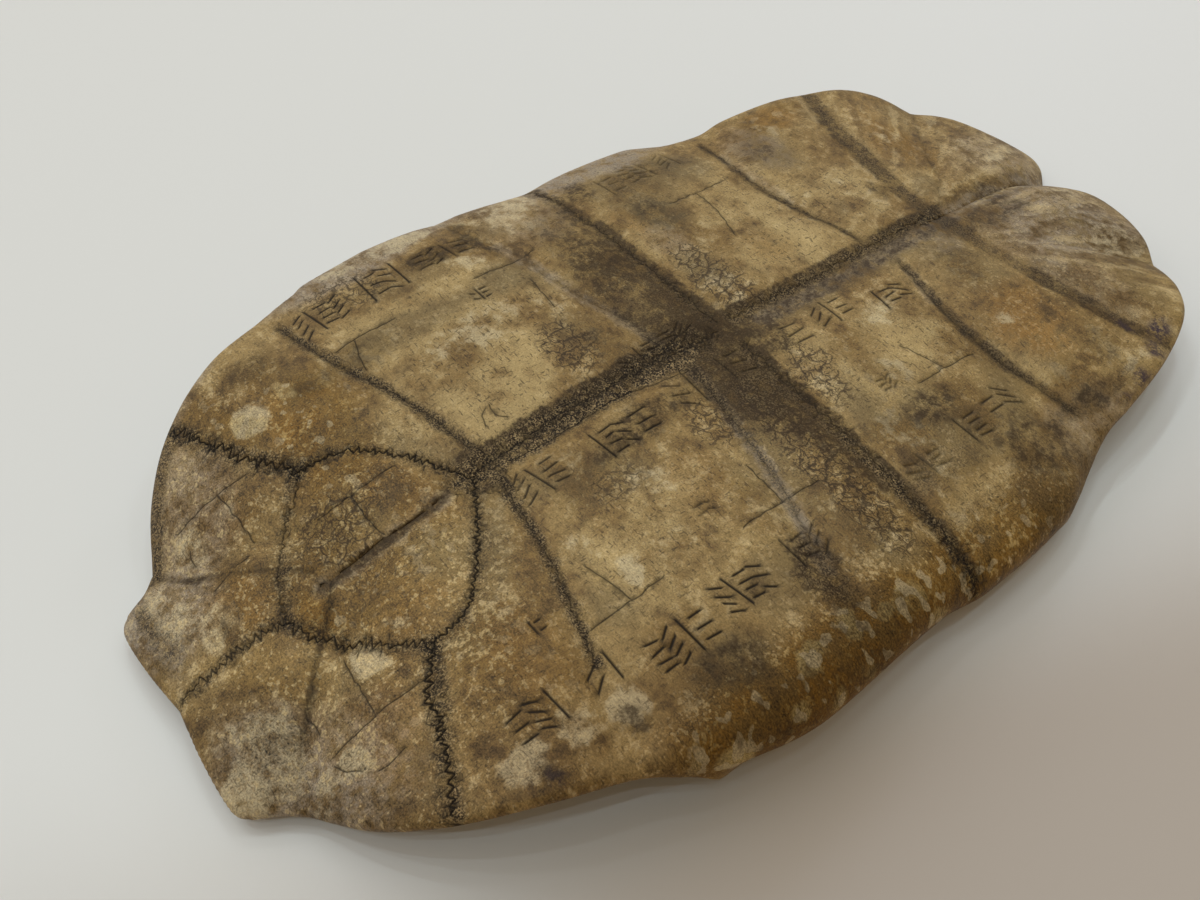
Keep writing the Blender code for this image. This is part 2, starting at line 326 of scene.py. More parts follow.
# Fine cracks: a long line and a short one that meets it
cracks = {
    "half": 0.19, "depth": 0.14, "ink": 0.8, "step": 0.7, "wander": 0.2,
    "lines": [
        [(0.8, 44), (0.8, 37), (1.6, 28), (0.9, 20), (1.7, 14.5), (1.2, 9), (3.4, 2), (4.2, -2)],
        [(-3.6, 7), (0.6, 5.4), (6.4, 5.8)],
        [(-1.6, 40), (-1.9, 30), (-1.5, 19), (-3.2, 10.5), (-4.4, 4)],
        [(-22.9, 85), (-23.3, 78), (-23.8, 71.2)], [(-23.3, 78), (-18, 77.5), (-12.2, 77.3)],
        [(-33.5, 50.3), (-33.7, 42), (-33.5, 35.4)], [(-33.6, 41.3), (-30, 41.9), (-25, 43.1)],
        [(-33.9, 20.2), (-33.7, 12), (-34, 5)], [(-33.8, 12), (-29, 11.7), (-25.4, 11.8)],
        [(-28.9, -24.5), (-28.7, -31), (-28.9, -38.5)], [(-28.7, -31), (-24.5, -29.8), (-20.8, -28.4)],
        [(26.7, 86), (26.3, 79), (25.7, 72.8)], [(26.2, 77.9), (20, 77.5), (15.2, 77.4)],
        [(10.1, 68), (9.6, 61.5), (9.9, 54.8)], [(9.6, 62.5), (5, 62.6), (0.8, 62.3)],
        [(36.6, 49.6), (37, 44), (36.8, 37.8)], [(36.4, 46), (33, 47), (29.6, 47.7)],
        [(32.9, -22), (33.1, -29), (33.6, -36)], [(32.8, -28.4), (26, -27.8), (18.5, -25.2)],
        [(36.9, 21), (36.5, 14), (36.8, 8)], [(30.3, 13), (26, 13.7), (22, 14)],
        [(-27.6, 83.8), (-26.2, 85.2), (-24.4, 86)], [(-30, 82), (-30.3, 80), (-30.1, 77.8)],
        [(-18.1, 85.6), (-16.5, 85.7), (-15, 86.2)], [(19.4, 86.8), (21, 86.3), (22.6, 86)],
        [(6.5, 39.2), (8.5, 38.6), (9.6, 37.4)], [(6, 35.4), (7.6, 36.6), (9.8, 36.2)],
        [(11.5, 86.5), (12.6, 83), (12.9, 79.6)],
    ],
}

# Signs cut in columns, here rows of plain ticks: middle, width, height, rows, darkness and seed
signs = {
    "half": 0.31, "depth": 0.22, "step": 0.6,
    "short": (0.66, 0.86),          # lengths against the height of a row
    "long": (0.75, 1.0),            # and against the width of a sign
    "sway": 9, "shift": 0.2,        # degrees and millimetres by which strokes differ
    "groups": [
        (-39.6, 62.2, 6, 8, 3, 0.95, 1), (-39.9, 51.4, 4.6, 6.4, 2, 0.95, 2),
        (-28.6, 54.6, 3, 2.2, 2, 0.9, 3), (-43, 39.8, 6.4, 10.4, 4, 1, 4), (-41.8, 27.4, 5.8, 9, 4, 1, 5),
        (-41.6, 14.8, 5.4, 8, 3, 0.75, 6), (-27.6, 22.4, 2.8, 2.6, 2, 0.55, 7),
        (-7.6, 38.8, 6.6, 8.6, 3, 0.85, 8), (-8.3, 24.8, 6.8, 7, 3, 0.95, 9),
        (-8.3, 18.4, 6.6, 3.6, 1, 0.95, 10), (-7.6, 8.6, 7.4, 6.4, 2, 0.7, 11),
        (-7.4, -1.6, 7, 6.6, 2, 0.55, 12), (-8, -15.8, 7, 4, 1, 0.8, 13),
        (-7.4, -24.8, 5.6, 7.6, 3, 0.85, 14), (-10.6, -37, 4.6, 7.6, 3, 0.9, 15),
        (-25.8, -19.8, 3.4, 3, 2, 0.6, 16), (-41.4, -12.5, 4.4, 7.4, 3, 0.4, 17),
        (-40.4, -24.5, 5.2, 5.6, 2, 0.75, 18), (-38.6, -33.6, 4.4, 7.6, 2, 0.8, 19),
        (46, 47.2, 7, 9.6, 4, 0.95, 20), (47, 34.2, 8.4, 9.4, 4, 0.95, 21),
        (46.8, 21.6, 5.6, 11, 4, 0.7, 22), (32.6, 22.6, 3, 3.2, 3, 0.85, 23),
        (45.6, -17, 7.6, 5, 2, 0.5, 24), (46.2, -24.4, 7, 6.4, 3, 0.45, 25),
        (46.8, -32.4, 6, 5, 2, 0.45, 26), (3.6, 8.4, 5, 4.6, 2, 0.75, 27),
        (3.4, 1.6, 5.4, 5.6, 2, 0.6, 28), (2.4, 12.6, 4, 2.6, 1, 0.6, 29),
    ],
}

# Short rough marks along the broad sutures: path, how far they reach to the sides, how many, darkness
roughBands = {
    "half": 0.15, "depth": 0.14, "ink": 0.8, "lengths": (0.2, 0.55),
    "seam": {"step": 0.45, "wander": 0.55, "half": 0.18, "depth": 0.2},     # the line they stand about
    "bands": [
        ([(0.4, 46), (1.2, 20), (0.6, -5)], 2.4, 190, 0.85),
        ([(2, -9), (1.6, -36), (1.6, -60)], 1.4, 70, 0.5),
        ([(3, -6.7), (25, -6.4), (57, -6)], 0.8, 100, 0.7),
        ([(-4, -6.9), (-25, -6.3), (-58, -5.6)], 1.2, 130, 0.7), ([(-52, -5.4), (-60, -5.4)], 2, 20, 0.8),
        ([(-1, 50), (-6, 42), (6, 43)], 2, 26, 0.6),
    ],
}


# How teeth and hairs are drawn
teeth = {
    "fine": 0.1,                    # step along the path
    "uneven": (0.45, 1.55),         # from one tooth to the next, against half the pitch
    "lengths": (0.1, 1.0), "power": 1.4, "gain": 1.25,      # most teeth are short, a few are long
    "drift": 0.35, "driftSize": 2.4, "step": 0.36,
}
hairs = {"half": 0.15, "depth": 0.12, "ink": 0.8, "lengths": (0.2, 0.55), "spread": 1.5}
furrowBed = {"step": 0.9, "ink": 0.45}
furrowLine = {"step": 0.5, "wander": 0.35, "half": 0.17, "depth": 0.7}


def toothed(suture, seed):
    # the path with its points pushed to left and right in turn, each by its own reach, at uneven steps
    chance = np.random.default_rng(seed)
    path = course(suture["path"], teeth["fine"])
    length = teeth["fine"] * (len(path) - 1)
    count = int(length / suture["pitch"] * 2.6)     # more than enough, the last ones are dropped
    at = np.cumsum(suture["pitch"] / 2 * chance.uniform(*teeth["uneven"], count))
    at = np.r_[0, at[at < length - 0.3], length]
    line = readAlong(path, at / teeth["fine"])
    side = readAlong(sideways(path), at / teeth["fine"])
    sign = np.where(np.arange(len(line)) % 2, 1, -1)
    drawn = chance.uniform(*teeth["lengths"], len(line))
    drift = softNoise(at, at * 0, teeth["driftSize"], seed)
    reach = suture["reach"] * (sign * drawn**teeth["power"] * teeth["gain"] + teeth["drift"] * drift)
    reach[[0, -1]] = 0
    return line + side * reach[:, None]


def fuzz(suture, seed):
    # short hairs that stand off a toothed suture on both sides
    path = course(suture["path"], 0.5)
    count = int(len(path) * suture["fuzz"])
    return roughMarks(path, suture["reach"] * hairs["spread"], count, hairs["lengths"], seed)


def wandering(path, step, wander, seed):
    # the path with a slow drift to the sides
    line = course(path, step)
    drift = softNoise(np.arange(len(line)) * 0.6, np.zeros(len(line)), 1.0, seed)
    return line + sideways(line) * (wander * drift)[:, None]


def ticks(middleX, middleY, width, height, rows, seed):
    # rows of short straight strokes that never meet: upright ones, leaning ones and one long stroke in turn
    chance = np.random.default_rng(seed)
    lines = []
    leans = (88, 58 if seed % 2 else 122, 4)    # degrees from level
    gap = height / rows
    for row in range(rows):
        y = middleY + height * (0.5 - (row + 0.5) / rows)
        kind = (row + seed) % 3
        count = 1 if kind == 2 else int(chance.integers(2, 4)) + (width > 5)
        for k in range(count):
            shift = chance.uniform(-signs["shift"], signs["shift"])
            x = middleX + width * ((k + 0.5) / count - 0.5) + shift
            lean = math.radians(leans[kind] + chance.uniform(-signs["sway"], signs["sway"]))
            size, shares = (width, signs["long"]) if kind == 2 else (gap, signs["short"])
            length = size * chance.uniform(*shares)
            dx, dy = math.cos(lean) * length / 2, math.sin(lean) * length / 2
            lines.append(np.array([(x - dx, y - dy), (x + dx, y + dy)]))
    return lines


def roughMarks(path, spread, count, lengths, seed):
    # short strokes scattered about a path, most of them near it and lying across it
    chance = np.random.default_rng(seed)
    line = course(path, 0.5)
    at = chance.uniform(0, len(line) - 1, count)
    centre = readAlong(line, at)
    across = sideways(line)[at.astype(int)]
    along = np.stack([across[:, 1], -across[:, 0]], -1)
    centre += across * (chance.normal(0, spread * 0.5, count).clip(-spread, spread))[:, None]
    sway = 34       # degrees off square
    lean = np.radians(chance.normal(0, sway, count))[:, None]
    way = across * np.cos(lean) + along * np.sin(lean)
    reach = chance.uniform(*lengths, count)[:, None]
    return [np.array(ends) for ends in np.stack([centre - way * reach, centre + way * reach], 1)]


def allMarks():
    # every groove: its points, half width, depth, darkness
    marks = []
    for k, suture in enumerate(sutures.values()):
        line = evenly(toothed(suture, 40 + k), teeth["step"])
        marks.append((line, suture["half"], suture["depth"], suture["ink"]))
        for line in fuzz(suture, 140 + k):
            marks.append((line, hairs["half"], hairs["depth"], suture["ink"] * hairs["ink"]))
    for k, furrow in enumerate(furrows.values()):
        bed = course(furrow["path"], furrowBed["step"])
        marks.append((bed, furrow["half"], furrow["depth"], furrow["ink"] * furrowBed["ink"]))
        line = wandering(furrow["path"], furrowLine["step"], furrowLine["wander"], 60 + k)
        marks.append((line, furrowLine["half"], furrow["depth"] * furrowLine["depth"], furrow["ink"]))
    for k, path in enumerate(cracks["lines"]):
        line = wandering(path, cracks["step"], cracks["wander"], 80 + k)
        marks.append((line, cracks["half"], cracks["depth"], cracks["ink"]))
    for x, y, width, height, rows, ink, seed in signs["groups"]:
        for line in ticks(x, y, width, height, rows, 200 + seed):
            marks.append((evenly(line, signs["step"]), signs["half"], signs["depth"], ink))
    seam = roughBands["seam"]
    for k, (path, spread, count, ink) in enumerate(roughBands["bands"]):
        line = wandering(path, seam["step"], seam["wander"], 320 + k)
        marks.append((line, seam["half"], seam["depth"], ink))
        for line in roughMarks(path, spread, count, roughBands["lengths"], 300 + k):
            marks.append((line, roughBands["half"], roughBands["depth"], ink * roughBands["ink"]))
    return marks


def nearestOn(x, y, line, limit):
    # distance from each place to the nearest span of a line, for the places within limit of its box
    low, high = line.min(axis=0) - limit, line.max(axis=0) + limit
    some = np.flatnonzero((x > low[0]) & (x < high[0]) & (y > low[1]) & (y < high[1]))
    nearest = np.full(len(some), np.inf)
    if len(some) == 0:
        return some, nearest
    start, way = line[:-1], np.diff(line, axis=0)
    batch = 60      # spans worked out at a time
    for part in np.array_split(np.arange(len(start)), max(len(start) // batch, 1)):
        px, py = x[some, None] - start[part, 0], y[some, None] - start[part, 1]
        wx, wy = way[part, 0], way[part, 1]
        along = np.clip((px * wx + py * wy) / np.maximum(wx**2 + wy**2, 1e-12), 0, 1)
        nearest = np.minimum(nearest, np.hypot(px - along * wx, py - along * wy).min(axis=1))
    return some, nearest


def carve(x, y, marks):
    # depth and darkness that the grooves give: depth falls as 1 - smooth(distance / half width),
    # and the darkness reaches a quarter further
    depth, ink = np.zeros(len(x)), np.zeros(len(x))
    for line, half, deepest, dark in marks:
        some, away = nearestOn(x, y, line, half * 1.7)
        depth[some] = np.maximum(depth[some], deepest * (1 - smoothStep(away / half)))
        ink[some] = np.maximum(ink[some], dark * (1 - smoothStep(away / half / 1.25)))
    return depth, ink


def rowsAlong(marks):
    # rows of points carried along every groove: its bottom, half way up and its lips
    rows = []
    for line, half, *_ in marks:
        side = sideways(line)
        for offset in (0, -0.5, 0.5, -1, 1):
            rows.append(line + side * half * offset)
    return np.vstack(rows)


# Where the broad valleys lie on the far half; the near half mirrors them
valleyLines = {
    "sutures": [
        [(0, 100), (0, -100)], [(20, 66.5), (27, 71.3), (35, 74.4), (43, 78.6)],
        [(0, 46), (9, 51.3), (17, 58), (20, 66.5)], [(20, 66.5), (13, 73), (6, 78.5), (0, 81.5)],
        [(0, -6.5), (20, -6.5), (42, -6), (60, -6)], [(0, -61.5), (16, -63.2), (32, -66.5), (47.5, -73)],
    ],
    "furrows": [
        [(0, 72.5), (6, 76.5), (15, 86.5), (25.6, 93.2)], [(0, 43.2), (15, 45.4), (30, 49.8), (54, 55)],
        [(0, 4), (14, 6.3), (30, 10), (42, 12.5), (58, 16)],
        [(0, -45.6), (12, -43.2), (27, -41), (42, -43), (52.4, -45.5)],
        [(2, -64), (8, -71), (20, -82), (32, -90.4)],
    ],
}


def valleys(x, y):
    # broad bells across the sutures and furrows, the deepest one taken
    depth = np.zeros(len(x))
    sizes = {"sutures": plate["sutureValley"], "furrows": plate["furrowValley"]}
    for kind, (width, deepest) in sizes.items():
        for line in valleyLines[kind]:
            some, away = nearestOn(np.abs(x), y, course(line, 2.0), width * 3)
            depth[some] = np.maximum(depth[some], deepest * np.exp(-(away / width)**2))
    return depth


def outerRing(table):
    # the rim on the flat pattern, once round, and the unit way from each of its places to the spine
    x = table["wayX"] * table["total"]
    y = table["spineY"] + table["wayY"] * table["total"]
    rim = np.stack([np.r_[x, -x[-2:0:-1]], np.r_[y, y[-2:0:-1]]], -1)
    wayX = np.r_[table["wayX"], -table["wayX"][-2:0:-1]]
    wayY = np.r_[table["wayY"], table["wayY"][-2:0:-1]]
    return rim, -np.stack([wayX, wayY], -1)


def fromRimAt(table, x, y):
    # length left to the rim: (1 - share) times the line's whole length
    station, share = locate(table, x, y)
    return np.interp(station, np.arange(len(table["total"])), table["total"]) * (1 - share)


def skin(table, step, marks):
    # Places of the flat pattern, joined by triangles: the rim first, then the rows that round it,
    # the rows of the grooves, and a net of even triangles kept clear of them.
    rim, inward = outerRing(table)
    rounding = [rim + inward * plate["rimRound"] * (1 - math.sin(math.radians(angle)))
                for angle in plate["rimRows"]]
    reachX, reachY = plate["netReach"]
    across = np.arange(-reachX, reachX, step)
    rowsY = np.arange(-reachY, reachY, step * math.sqrt(0.75))
    shift = (np.arange(len(rowsY)) % 2 * step / 2)[:, None]
    net = np.stack([across + shift, rowsY[:, None] + 0 * across], -1).reshape(-1, 2)
    net = net[fromRimAt(table, *net.T) > plate["rimRound"] + step * 0.4]
    clear = np.full(len(net), np.inf)
    for line, half, *_ in marks:
        some, away = nearestOn(*net.T, line, half + plate["rowGap"])
        clear[some] = np.minimum(clear[some], away - half)
    net = net[clear > step * 0.38]
    grooves = rowsAlong(marks)
    grooves = grooves[fromRimAt(table, *grooves.T) > plate["rimRound"] * 0.75]
    places = np.vstack([rim, *rounding, grooves, net])
    _, first = np.unique(np.floor(places / plate["cell"]).astype(int), axis=0, return_index=True)
    keep = np.union1d(first, np.arange(len(rim)))
    places = places[keep]
    ring = [(k, (k + 1) % len(rim)) for k in range(len(rim))]
    joined = geometry.delaunay_2d_cdt([Vector(place) for place in places.tolist()], ring, [], 0, 1e-7, True)
    source = np.array([ids[0] for ids in joined[3]])
    triangles = source[np.array([tuple(face) for face in joined[2]])]
    # triangles that span the rim's hollows have all three corners on it and their middle outside it:
    # a ray to the right from there crosses the rim an even number of times
    spans = np.flatnonzero((triangles < len(rim)).all(axis=1))
    middleX, middleY = places[triangles[spans]].mean(axis=1).T[:, :, None]
    startX, startY, endX, endY = *rim.T, *np.roll(rim, -1, axis=0).T
    crossed = (startY > middleY) != (endY > middleY)
    meetX = startX + (middleY - startY) * (endX - startX) / np.where(endY == startY, 1, endY - startY)
    outside = (crossed & (middleX < meetX)).sum(axis=1) % 2 == 0
    triangles = np.delete(triangles, spans[outside], axis=0)
    return places, triangles, len(rim)


def place3d(table, x, y, side, relief):
    # the wall's middle pushed out along its normal by half the wall less the relief
    station, share = locate(table, x, y)
    middle, normal, half = wallAt(table, station, share)
    mirror = np.stack([np.where(x < 0, -1.0, 1.0), np.ones(len(x)), np.ones(len(x))], -1)
    points = (middle + side * normal * (half - relief * half / plate["coreHalf"])[:, None]) * mirror
    if side > 0:
        points[:, 2] -= valleys(x, y) * half / plate["coreHalf"]
    points[:, 2] = np.where(points[:, 2] < plate["contact"], 0, points[:, 2])
    return points


# Stretches of seam that more than one stain follows
seams = {
    "abdominalFar": [(4, -44.2), (24, -40.5), (48, -43.4)],
    "epiHyoNear": [(-20.4, 66.4), (-32, 72.8), (-43.5, 78.6)],
    "epiHyoFar": [(19.7, 66.2), (30, 72.2), (43.2, 78.6)],
    "humeralNear": [(-3.5, 43.4), (-16, 45.5), (-30, 49), (-38.5, 51.6)],
    "humeralFar": [(4.5, 43.3), (16, 45.4), (28, 48.9), (41, 52.6), (49, 54.2)],
}

# Stains on the flat pattern, the lilac one partly a painted sheen: soft areas, each x, y, half width, half
# height, strength and a turn in degrees where it has one, and bands along a path with half width and
# strength
stains = {
    "dark": {
        "areas": [
            (-2, -1, 10, 6.5, 0.95), (1, 0, 15, 10, 0.6), (-12, 0, 14, 7.5, 0.75),
            (-26, -3, 14, 4.5, 0.6), (17, 0, 17, 7.6, 0.6), (34, 0, 13, 7, 0.5), (-42, -5, 12, 2, 0.4),
            (0, 45, 6, 3.4, 0.6), (13, -58.6, 3.6, 2.4, 0.5), (33, -8.6, 2.4, 1.6, 0.5),
            (46.4, 22, 3.2, 7.6, 0.7), (43, 13.6, 4.4, 1.6, 0.6, 10), (50, 14.6, 4, 2.4, 0.5),
            (-46, 15.6, 8, 4, 0.6), (-43, 20, 4, 2.6, 0.3), (-47, 66.5, 1.8, 1.8, 0.6),
            (4, 88.6, 1, 1, 0.6), (17, 88, 2.4, 1.6, 0.45, 20), (-55, -30, 5, 14, 0.45),
            (-57.5, 26, 5, 24, 0.5), (-50, 37, 3.4, 6, 0.55), (-45, 36, 3, 6, 0.3), (33, 56, 2.6, 5, 0.5),
            (43, 63, 4, 5, 0.5), (-13, -54, 6, 4, 0.4), (-40, -48, 7, 3, 0.35), (-47, -52, 2.4, 11, 0.55),
            (46, -27, 4, 8, 0.4), (40, -18, 8, 8, 0.3), (32, -18, 5, 3.4, 0.35), (53, -20, 4, 13, 0.3),
            (-30, -20, 12, 9, 0.36), (-22, -36, 9, 3, 0.2), (38, -53, 8, 5, 0.3), (-34, -24, 4, 8, 0.4),
            (-14, -22, 3, 8, 0.2, 10), (13, 96.2, 7, 1.5, 0.55), (-50, -10, 3, 4, 0.3),
            (-42.5, -30, 3.4, 9, 0.4), (-12, 32, 2.6, 8, 0.35, 20), (9, 13, 7, 3, 0.4),
            (6, 69, 6, 5, 0.3), (-33, -70, 7, 3, 0.3), (36, -49, 6, 3, 0.3), (-30, 96, 5, 3, 0.2),
            (-8, 90, 5, 4, 0.15), (-8, 19, 4, 11, 0.6), (-7, -11.5, 4, 3.6, 0.62), (-48, -33, 4, 9, 0.6),
            (-6.5, -72, 3.6, 9, 0.52), (0, -77, 3, 5, 0.5), (-40, -59, 5, 3, 0.45), (32, 45, 4, 5, 0.4),
            (48, -11, 4, 4, 0.6), (-48, 53, 3, 3, 0.55), (-30, -42, 7, 3, 0.3),
        ],
        "bands": [
            ([(-2.4, 46), (-2.2, 12), (-2, 2)], 1.2, 0.4), ([(3.3, 46), (3.4, 10), (3, -6)], 1.2, 0.75),
            ([(1, 48), (1, 10), (1, -6)], 2.9, 0.74), ([(2.4, -6), (2.2, -36), (1.8, -62)], 1.7, 0.85),
            ([(-1.6, -8), (-1.6, -62)], 2.4, 0.6), ([(-4, -7.2), (-25, -7), (-58, -6.2)], 1, 0.7),
            ([(-4, -5.4), (-25, -5), (-40, -4.9)], 2.2, 0.52), ([(-38, -5.4), (-60, -5.2)], 1.3, 0.5),
            ([(4, -7.4), (25, -7.4), (57, -6.6)], 1.1, 0.62),
            ([(4, -5.6), (25, -5.2), (57, -5)], 1.7, 0.5),
            ([(1, -61.5), (10, -62), (20, -64), (32, -66.5), (46, -72.5)], 2.2, 0.66),
            ([(-2, -62), (-12, -62.6), (-24, -63.6), (-32, -65), (-40, -66.5), (-46, -71)], 1.9, 0.5),
            ([(-22, -63.4), (-32, -65), (-40, -66.5), (-47, -69)], 1.7, 0.6),
            ([(2.8, -63), (2.8, -92)], 0.7, 0.4), ([(-2.8, -63), (-2.8, -92)], 0.7, 0.4),
            (seams["abdominalFar"], 0.9, 0.6), ([(-7, -45.2), (-26, -41.3), (-46, -44.4)], 1.1, 0.6),
            ([(24, 93), (34, 87), (42, 80)], 2.2, 0.55), (seams["epiHyoNear"], 1.3, 0.5),
            (seams["epiHyoFar"], 1.5, 0.5), ([(0.6, 100.5), (0, 82)], 1.2, 0.4),
            ([(-0.6, 74), (-0.7, 62), (-0.4, 52)], 1.35, 0.75),
            ([(-3, 74), (-9, 80.2), (-16, 87.3)], 0.85, 0.5), ([(-16, 87.3), (-24, 93)], 0.8, 0.25),
            ([(3, 74), (10, 80.6), (16, 87.5), (24, 92.4)], 0.9, 0.42), (seams["humeralNear"], 1, 0.56),
            (seams["humeralFar"], 1, 0.58),
            ([(-1.6, 81), (-10, 76.4), (-20.4, 66.4), (-18.6, 59.5), (-10, 52), (0, 46)], 1, 0.45),
            ([(-1.6, 81), (10, 75), (19.7, 66.2), (17, 58), (9, 51.4), (0, 46)], 0.9, 0.4),
            ([(-6, 5), (-20, 7.4), (-30, 9.6)], 1.2, 0.35), ([(46, 47), (46, 34)], 1.4, 0.3),
        ],
    },
    "pale": {
        "areas": [
            (25, 27, 5, 11, 0.45), (17, -42, 6, 7, 0.3), (-24, -87, 5, 7, 0.65), (-8, -93, 4, 4, 0.4),
            (-31, -84, 3, 4, 0.3), (33.5, 68.5, 3.4, 2.8, 0.9), (35, 61, 3, 2.4, 0.45),
            (22.5, 86, 4.2, 2.6, 0.6), (-26, 83.6, 3, 2.4, 0.95, 20), (-15.5, 73.6, 4.6, 2, 0.9, 35),
            (-17.5, 98, 5, 3, 0.85), (-16, 92.5, 8, 5, 0.6), (-27, 90, 2.4, 5, 0.6, 20),
            (14, 93.5, 8, 4, 0.6), (24, 80, 4, 5, 0.35), (-43.6, 68, 2.6, 4.4, 0.95, 10),
            (-44, 60, 3, 3, 0.6), (-46, 52, 3, 3.4, 0.7), (5, 89, 4.4, 3.4, 0.55, 30),
            (-7, 97, 4, 3, 0.4), (14, 99, 8, 1.6, 0.25), (21, 97, 1.8, 2.4, 0.25),
            (-21, 55.6, 3, 1.4, 0.3), (-5, 60, 3, 3, 0.4), (-11, 62, 2, 2.6, 0.4),
            (-14, 68.6, 2.4, 2, 0.35), (-29, 38.4, 2.6, 2.4, 0.75), (-21.5, 42, 4, 2.4, 0.45),
            (-18, 25.5, 3.6, 3.6, 0.55), (-30, 30, 4, 4, 0.35), (-60, 43, 2.4, 3.4, 0.85),
            (-58.5, 33, 2, 2.4, 0.7), (-55, 27, 2, 3, 0.75), (-54.4, 18, 2.4, 2.6, 0.7),
            (-57.5, 48, 1.6, 2, 0.6), (-61.5, 27, 1.4, 2.4, 0.6), (-56, 12, 1.4, 1.8, 0.6),
            (-60.5, 4, 1.6, 3, 0.6), (-57, 8, 2, 3, 0.5), (-60, 20, 1.8, 2.6, 0.5), (-47, 3, 4, 3, 0.3),
            (-55, 3, 3, 5, 0.35), (24, 13.5, 5, 4, 0.4), (41, 19, 2, 4, 0.5), (46, 4, 4, 7, 0.35),
            (53, 4, 4, 9, 0.6), (56, 30, 3, 16, 0.6), (10, -14, 7, 3.4, 0.35), (-24, -24, 4, 3, 0.6),
            (-27, -30, 3.4, 4, 0.35), (-16, -12, 7, 2.6, 0.4), (-13, -31, 4, 6, 0.5),
            (-35, -15, 6, 5, 0.35), (-52, -14, 3, 6, 0.45), (-45, -12, 2.4, 4, 0.3),
            (-46.6, -60, 1.4, 4, 0.6), (-27, -49, 2, 1.4, 0.5), (52, -20, 4, 12, 0.25),
            (42, -56, 4, 1.5, 0.5), (16, -54, 7, 3, 0.35), (10, -95, 3, 8, 0.5, 20),
            (16, -88, 2, 8, 0.4, 25), (5, -103, 4, 2, 0.5), (-14, -84, 4, 8, 0.35, -30),
            (-24, -84, 3, 6, 0.3, -35), (26, -74, 8, 4, 0.3),
        ],
        "bands": [([(-47, 66), (-47, 50)], 1.6, 0.4)],
    },
    "calm": {
        "areas": [
            (25, 29, 6, 12, 0.7), (18, -40, 8, 8, 0.6), (25, -11, 5, 4, 0.6), (26, -28, 5, 5, 0.6),
            (-25, -36, 5, 4, 0.6), (-31, -21, 4, 4, 0.6), (-31, -65, 5, 4, 0.5), (24, 58, 5, 6, 0.4),
            (-39, 12, 4, 3, 0.4), (13, 33, 11, 12, 0.9), (24, 38, 6, 10, 0.5), (38, 33, 3, 14, 0.5),
            (26, 14, 10, 4, 0.7), (22, 24, 10, 10, 0.5), (-26, 33, 8, 12, 0.6), (-24, 18, 9, 7, 0.6),
            (-50, 6, 4, 5, 0.3), (-34, 36, 5, 10, 0.4), (12, -30, 8, 9, 1), (28, -36, 10, 4, 0.7),
            (24, -12, 9, 3, 0.6), (-18, -14, 12, 5, 0.7), (-20, -30, 9, 9, 0.65), (-52, -14, 5, 8, 0.6),
            (16, -52, 9, 6, 1), (34, -44, 9, 2, 0.4), (-28, -46, 12, 3, 0.6), (20, -70, 12, 5, 0.4),
            (14, -86, 8, 10, 0.5, 20), (34, -84, 6, 8, 0.3, 40), (-14, -86, 8, 9, 0.4),
            (14, 50, 8, 4, 0.6), (-9, 56, 5, 6, 0.5), (30, 76, 9, 4, 0.3),
        ],
        "bands": [],
    },
    "grey": {
        "areas": [
            (-8, 34, 4, 6, 0.4), (-39, -36, 5, 5, 0.5), (-7, -56, 4, 8, 0.6), (-9, 58, 6, 4, 0.5),
            (-24, 60, 3, 5, 0.5), (-13, 52, 6, 3, 0.5), (-28, -12, 8, 3, 0.55), (8, 76, 4, 3, 0.45),
            (-16, 76, 4, 3, 0.4), (-36, 76, 6, 3, 0.4), (36, 60, 7, 4, 0.45), (48, 12, 4, 4, 0.5),
            (32, 12, 5, 3, 0.4), (8, -68, 4, 3, 0.55), (40, -68, 4, 3, 0.5), (-24, -68, 5, 3, 0.55),
            (-36, -77, 6, 4, 0.4), (32, -84, 4, 4, 0.5), (-32, 45, 4, 4, 0.5), (-34, -40, 7, 4, 0.4),
            (-43, 6, 8, 5, 0.6), (-50, 2, 4, 5, 0.35), (32, -18, 7, 5, 0.95), (14, -14, 6, 4, 0.7),
            (42, -34, 6, 6, 0.7), (36, -50, 9, 5, 0.55), (12, -48, 3, 2, 0.5), (-33, -22, 5, 5, 0.4),
            (-25, 7, 14, 3, 0.5, -8), (14, 14, 6, 5, 0.6), (34, 16, 5, 5, 0.5), (-34, 14, 10, 3, 0.4),
            (-44, 20, 5, 8, 0.5), (-50, 38, 4.4, 8, 0.8), (-42, -22, 5, 16, 0.6),
            (-14, 30, 5, 7, 0.6, 20), (-9, 38, 4, 5, 0.5), (33, 38, 3.6, 14, 0.6), (33, 20, 4, 7, 0.5),
            (44, 30, 4, 10, 0.4), (44, -24, 7, 12, 0.5), (22, 7.5, 9, 1.6, 0.4, 8), (38, -20, 8, 9, 0.3),
            (-15, -55, 8, 6, 0.5), (-34, -20, 4, 7, 0.3), (-10, 95, 10, 6, 0.35), (13, 97, 10, 4, 0.6),
            (-30, 92, 8, 4, 0.4, -30), (-22, -84, 12, 10, 0.5), (7, 66, 6, 8, 0.4), (14, 84, 5, 5, 0.3),
            (-26, 5, 9, 3, 0.35), (-24, 9, 8, 2, 0.4, -10),
        ],
        "bands": [
            ([(-22, 64), (-19, 56), (-12, 50), (-4, 46)], 2.2, 0.6),
            ([(22, 66), (20, 57), (11, 50), (4, 46)], 1.4, 0.4), ([(-22.5, 68), (-34, 75)], 1.6, 0.4),
            ([(-2, -9), (-2, -60)], 3.4, 0.6), ([(-26, 92), (-34, 87), (-43, 78)], 4, 0.35),
            ([(0, -62), (0, -98)], 3, 0.6),
        ],
    },
    # This stain is partly the bone's own grey-lilac tint along the midline and seams, and partly painted
    # sheen: cool light and reflection painted on the far rim, the front slopes and the rear lobes
    "lilacAndSheen": {
        "areas": [
            (12, 97.4, 9, 3, 0.6), (18, 98.6, 6, 3.4, 0.9), (57, 30, 4, 20, 0.95),
            (53.5, 40, 3.4, 14, 0.8), (27, 83, 12, 8, 0.6, -25), (-25, 84, 12, 8, 0.55, 25),
